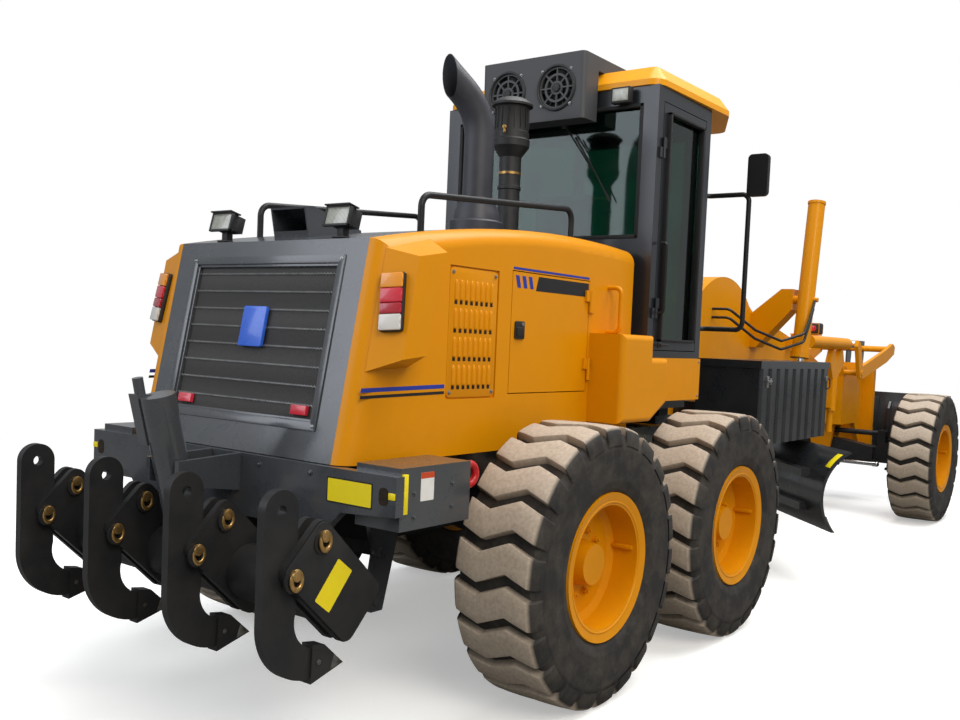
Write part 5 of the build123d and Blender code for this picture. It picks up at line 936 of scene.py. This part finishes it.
# bright red enamel, knocked and scuffed
red_enamel = surface("red_tow_ring_enamel", "#c4101a", "#a50d15", 0.06, 0.3, 0.0002, 0.004, coat=0.2)
for name, face, outline, low, high, material, slot in (
        ("bumper_plate_edge", BUMPER, (0.66, 0.915, 1.046, 1.15, 0.008), 0.0, 0.001,
         black_vinyl, "grey_paint"),
        ("blank_yellow_bumper_plate", BUMPER, (0.666, 0.909, 1.052, 1.144, 0.005), 0.001, 0.0016,
         yellow_vinyl, "yellow_paint"),
        ("blank_white_label", BOX_SIDE, (-4.225, -4.145, 1.075, 1.19, 0.003), 0.0, 0.0008,
         white_vinyl, "grey_paint"),
        ("blank_label_red_head", BOX_SIDE, (-4.225, -4.145, 1.166, 1.19, 0.003), 0.0008, 0.0014,
         red_vinyl, "grey_paint")):
    settle(plated(oblong(*outline), low, high, face), name, material)
stop = [block((-4.338, -1.034, 1.035), (-4.312, -1.018, 1.192), 0.002),
        block((-4.395, -1.036, 1.098), (-4.33, -1.004, 1.124), 0.002)]
both(stop, "bumper_stop", yellow_vinyl)
# a dark sheet of painted shade in the notch at each end of the bumper plate
notch = plated(oblong(0.95, 1.0, 1.07, 1.14, 0.022), -0.001, 0.0012, BUMPER)
settle([notch, mirrored(notch)], "bumper_notch_painted_shade", shade)
bolts = [screw((x, -1.02, z), (0, -1, 0), 0.011)
         for x, z in ((-4.262, 1.11), (-4.262, 1.015), (-4.03, 1.13), (-4.03, 1.035))]
bolts += [screw((-4.3885, y, 1.15), (-1, 0, 0), 0.012) for y in (-0.56, -0.24)]
both(bolts, "bumper_bolts", grey_enamel)


def torus(radius, thickness, around, across, **place):
    """A ring of round wire."""
    bpy.ops.object.select_all(action="DESELECT")
    bpy.ops.mesh.primitive_torus_add(major_segments=around, minor_segments=across, major_radius=radius,
                                     minor_radius=thickness, **place)
    return bpy.context.active_object


tow_ring = torus(0.0432, 0.0176, 56, 20, location=(-3.876, -0.985, 1.15), rotation=(math.pi / 2, 0, 0))
bpy.ops.object.transform_apply(location=True, rotation=True, scale=True)
both(tow_ring, "red_tow_ring", red_enamel)


# Ripper. Five-sided pocket plates clamp each forged shank with two ring pins plated with brass; a
# blank yellow vinyl label sits on the outer plate, and the teeth are worn bright at their points.
SHANKS = (-0.84, -0.28, 0.28, 0.84)
RING_PINS = ((-4.631, 0.975), (-4.766, 0.85))
PLATE, PLATE_THICK = facing_right(-0.8903), 0.0112
POCKET = ((-4.623, 1.045), (-4.2995, 0.7215), (-4.483, 0.525), (-4.816, 0.85))
# the label's middle, its half length and half width, and the way it runs
LABEL_MIDDLE, LABEL_LONG, LABEL_WIDE = Vector((-4.565, 0.776)), 0.091, 0.047
along, over = Vector((0.626, 0.780)), Vector((0.780, -0.626))
pocket = plated(rounded(POCKET, 0.05, 8), 0.0, PLATE_THICK, PLATE, 0.002)
both(pocket, "outer_pocket_plate", black_enamel, "ripper")
pins = []
for shank in SHANKS:
    # the outermost plate on the right is thicker than the others
    outer = shank - (0.0615 if shank == SHANKS[0] else 0.0503)
    for x, z in RING_PINS:
        pins.append(rod((x, outer - 0.026, z), (x, outer - 0.0005, z), 0.0215, 24, 0.003))
        hole = Matrix.Translation((x + 0.006, outer - 0.0125, z - 0.020))
        upended = Matrix.Rotation(math.pi / 2, 4, "X") @ Matrix.Diagonal((0.95, 1.28, 1.0, 1))
        pins.append(moved(torus(0.0255, 0.0088, 40, 12), hole @ upended))
settle(pins, "brass_ring_pins", brass, "ripper")
corners = [tuple(LABEL_MIDDLE + along * a * LABEL_LONG + over * b * LABEL_WIDE)
           for a, b in ((-1, -1), (-1, 1), (1, 1), (1, -1))]
label = plated(rounded(corners, 0.006), PLATE_THICK, 0.012, PLATE)
settle(label, "blank_yellow_ripper_label", yellow_vinyl, "ripper")
# forged steel rubbed bright by the ground
worn_steel = surface("ground_worn_steel", "#8f8d89", "#4d4a46", 0.03, 0.34, 0.0005, 0.004, metallic=0.9)
tooth_pins = [rod((-4.6, shank - 0.034, 0.482), (-4.6, shank + 0.034, 0.482), 0.012, 6, 0.001)
              for shank in SHANKS]
settle(tooth_pins, "tooth_pins", worn_steel, "ripper")
tips = [plated(((-4.54, 0.4395), (-4.4705, 0.4515), (-4.52, 0.498)), -0.0305, 0.0305,
               facing_right(shank), 0.002) for shank in SHANKS]
settle(tips, "worn_tooth_tips", worn_steel, "ripper")
fitting = [rod((-4.7, 0.062, 1.33), (-4.7, 0.062, 1.372), 0.014, 6, 0.001),
           rod((-4.7, 0.062, 1.365), (-4.7, 0.062, 1.395), 0.009, 16, 0.001)]
settle(fitting, "valve_fitting", zinc)


# Side boxes. Ribbed sheet-steel boxes beside the articulation hinge, shut by a draw latch and a hasp.
latches = [block(low, high, 0.003) for low, high in (
    ((-0.455, -0.962, 1.468), (-0.425, -0.949, 1.552)), ((-0.462, -0.972, 1.505), (-0.386, -0.96, 1.523)),
    ((-0.395, -0.962, 1.49), (-0.375, -0.949, 1.536)), ((0.835, -0.962, 1.505), (0.872, -0.949, 1.545)))]
hasp = pipe([(0.87, -0.955, 1.53), (0.905, -0.968, 1.52), (0.905, -0.968, 1.45), (0.88, -0.955, 1.44)],
            0.005, 8, 0.015)
both(latches, "side_box_latch", zinc, "front_body")
both(hasp, "side_box_hasp", black_enamel, "front_body")


# Front lamps. A black lamp housing with a red side marker stands on the beam each side.
shell = block((2.376, -0.358, 1.915), (2.502, -0.232, 2.029), 0.018, 3)
marker = rod((2.373, -0.295, 1.975), (2.379, -0.295, 1.975), 0.03, 28, 0.002)
pane = block((2.5, -0.345, 1.93), (2.506, -0.245, 2.014), 0.004)
both(shell, "front_lamp", black_plastic, "front_body")
both(marker, "front_marker", red_lens, "front_body")
both(pane, "front_lamp_glass", lamp_glass, "front_body")


# Blade. The curved mouldboard is dark painted plate; a bare steel cutting edge is bolted along its
# foot, bright where the ground has rubbed it, and a small yellow vinyl patch marks its end.
SLANT = 0.7071
BLADE_X, BLADE_MIDDLE = 1.369, 0.0347
PROFILE = Matrix(((SLANT, 0, -SLANT, BLADE_X), (-SLANT, 0, -SLANT, 0), (0, 1, 0, 0), (0, 0, 0, 1)))
# (forward, height) points on the mouldboard's front and back faces
FRONT_ARC = ((0.04, 0.4), (-0.058, 0.69), (0.15, 1.0))
BACK_ARC = ((0.018, 0.4), (-0.08, 0.685), (0.13, 1.012))
EDGE_LENGTH, EDGE_PITCH, BOLTS, BOLT_PITCH, BOLT_Z = 0.62, 0.622, 24, 0.1548, 0.485


def arc_through(a, b, c, height):
    """Where the upright circle through three (forward, height) points stands at a height."""
    ax, ay, bx, by, cx, cy = *a, *b, *c
    d = 2 * (ax * (by - cy) + bx * (cy - ay) + cx * (ay - by))
    aa, bb, cc = ax * ax + ay * ay, bx * bx + by * by, cx * cx + cy * cy
    ux = (aa * (by - cy) + bb * (cy - ay) + cc * (ay - by)) / d
    uy = (aa * (cx - bx) + bb * (ax - cx) + cc * (bx - ax)) / d
    return ux - math.sqrt((ax - ux) ** 2 + (ay - uy) ** 2 - (height - uy) ** 2)


def arc_strip(arc, low, high, start, end, right_end, left_end, steps=7):
    """A strip that follows one of the mouldboard's faces between two heights and two distances along it."""
    levels = [low + (high - low) * n / steps for n in range(steps + 1)]
    outline = [(arc_through(*arc, z) + start, z) for z in levels]
    outline += [(arc_through(*arc, z) + end, z) for z in reversed(levels)]
    return plated(outline, -left_end, -right_end, PROFILE, 0.001)


edge = [arc_strip(FRONT_ARC, 0.401, 0.52, -0.002, 0.011, BLADE_MIDDLE + n * EDGE_PITCH,
                  BLADE_MIDDLE + n * EDGE_PITCH + EDGE_LENGTH) for n in range(-3, 3)]
forward = Vector((SLANT, -SLANT, 0))
for n in range(BOLTS):
    spot = Vector((BLADE_X, 0, BOLT_Z)) + Vector((SLANT, SLANT, 0)) * (BLADE_MIDDLE - 1.78 + BOLT_PITCH * n)
    spot += forward * (arc_through(*FRONT_ARC, BOLT_Z) + 0.01)
    edge.append(rod(spot, spot + forward * 0.004, 0.013, 12, 0.001))
settle(edge, "bolted_cutting_edge", worn_steel, "moldboard")
patch = arc_strip(BACK_ARC, 0.885, 0.985, -0.0012, 0.0004, -1.815, -1.74)
settle(patch, "blank_yellow_blade_patch", yellow_vinyl, "moldboard")


# Cylinder rods and hoses. The rods are ground and hard chromed; the hoses are nitrile rubber over
# braided wire.
def even_finish(name, colour, roughness, metallic=0.0):
    """One even colour and gloss."""
    material, tree, shader, _ = start_material(name)
    fill(tree, shader, {"Base Color": linear(colour), "Roughness": roughness, "Metallic": metallic})
    return material


# hard chrome ground to a mirror, and matt black nitrile rubber
chrome = even_finish("hard_chrome_rod", "#cfd1d3", 0.16, 1.0)
dress(chrome, "tie_rod", "lift_rods", "ripper_rod", "front_lift_rod", "articulation_rod_right",
      "articulation_rod_left")
hose_rubber = even_finish("nitrile_hose_rubber", "#1b1b1c", 0.55)
dress(hose_rubber, "hoses")
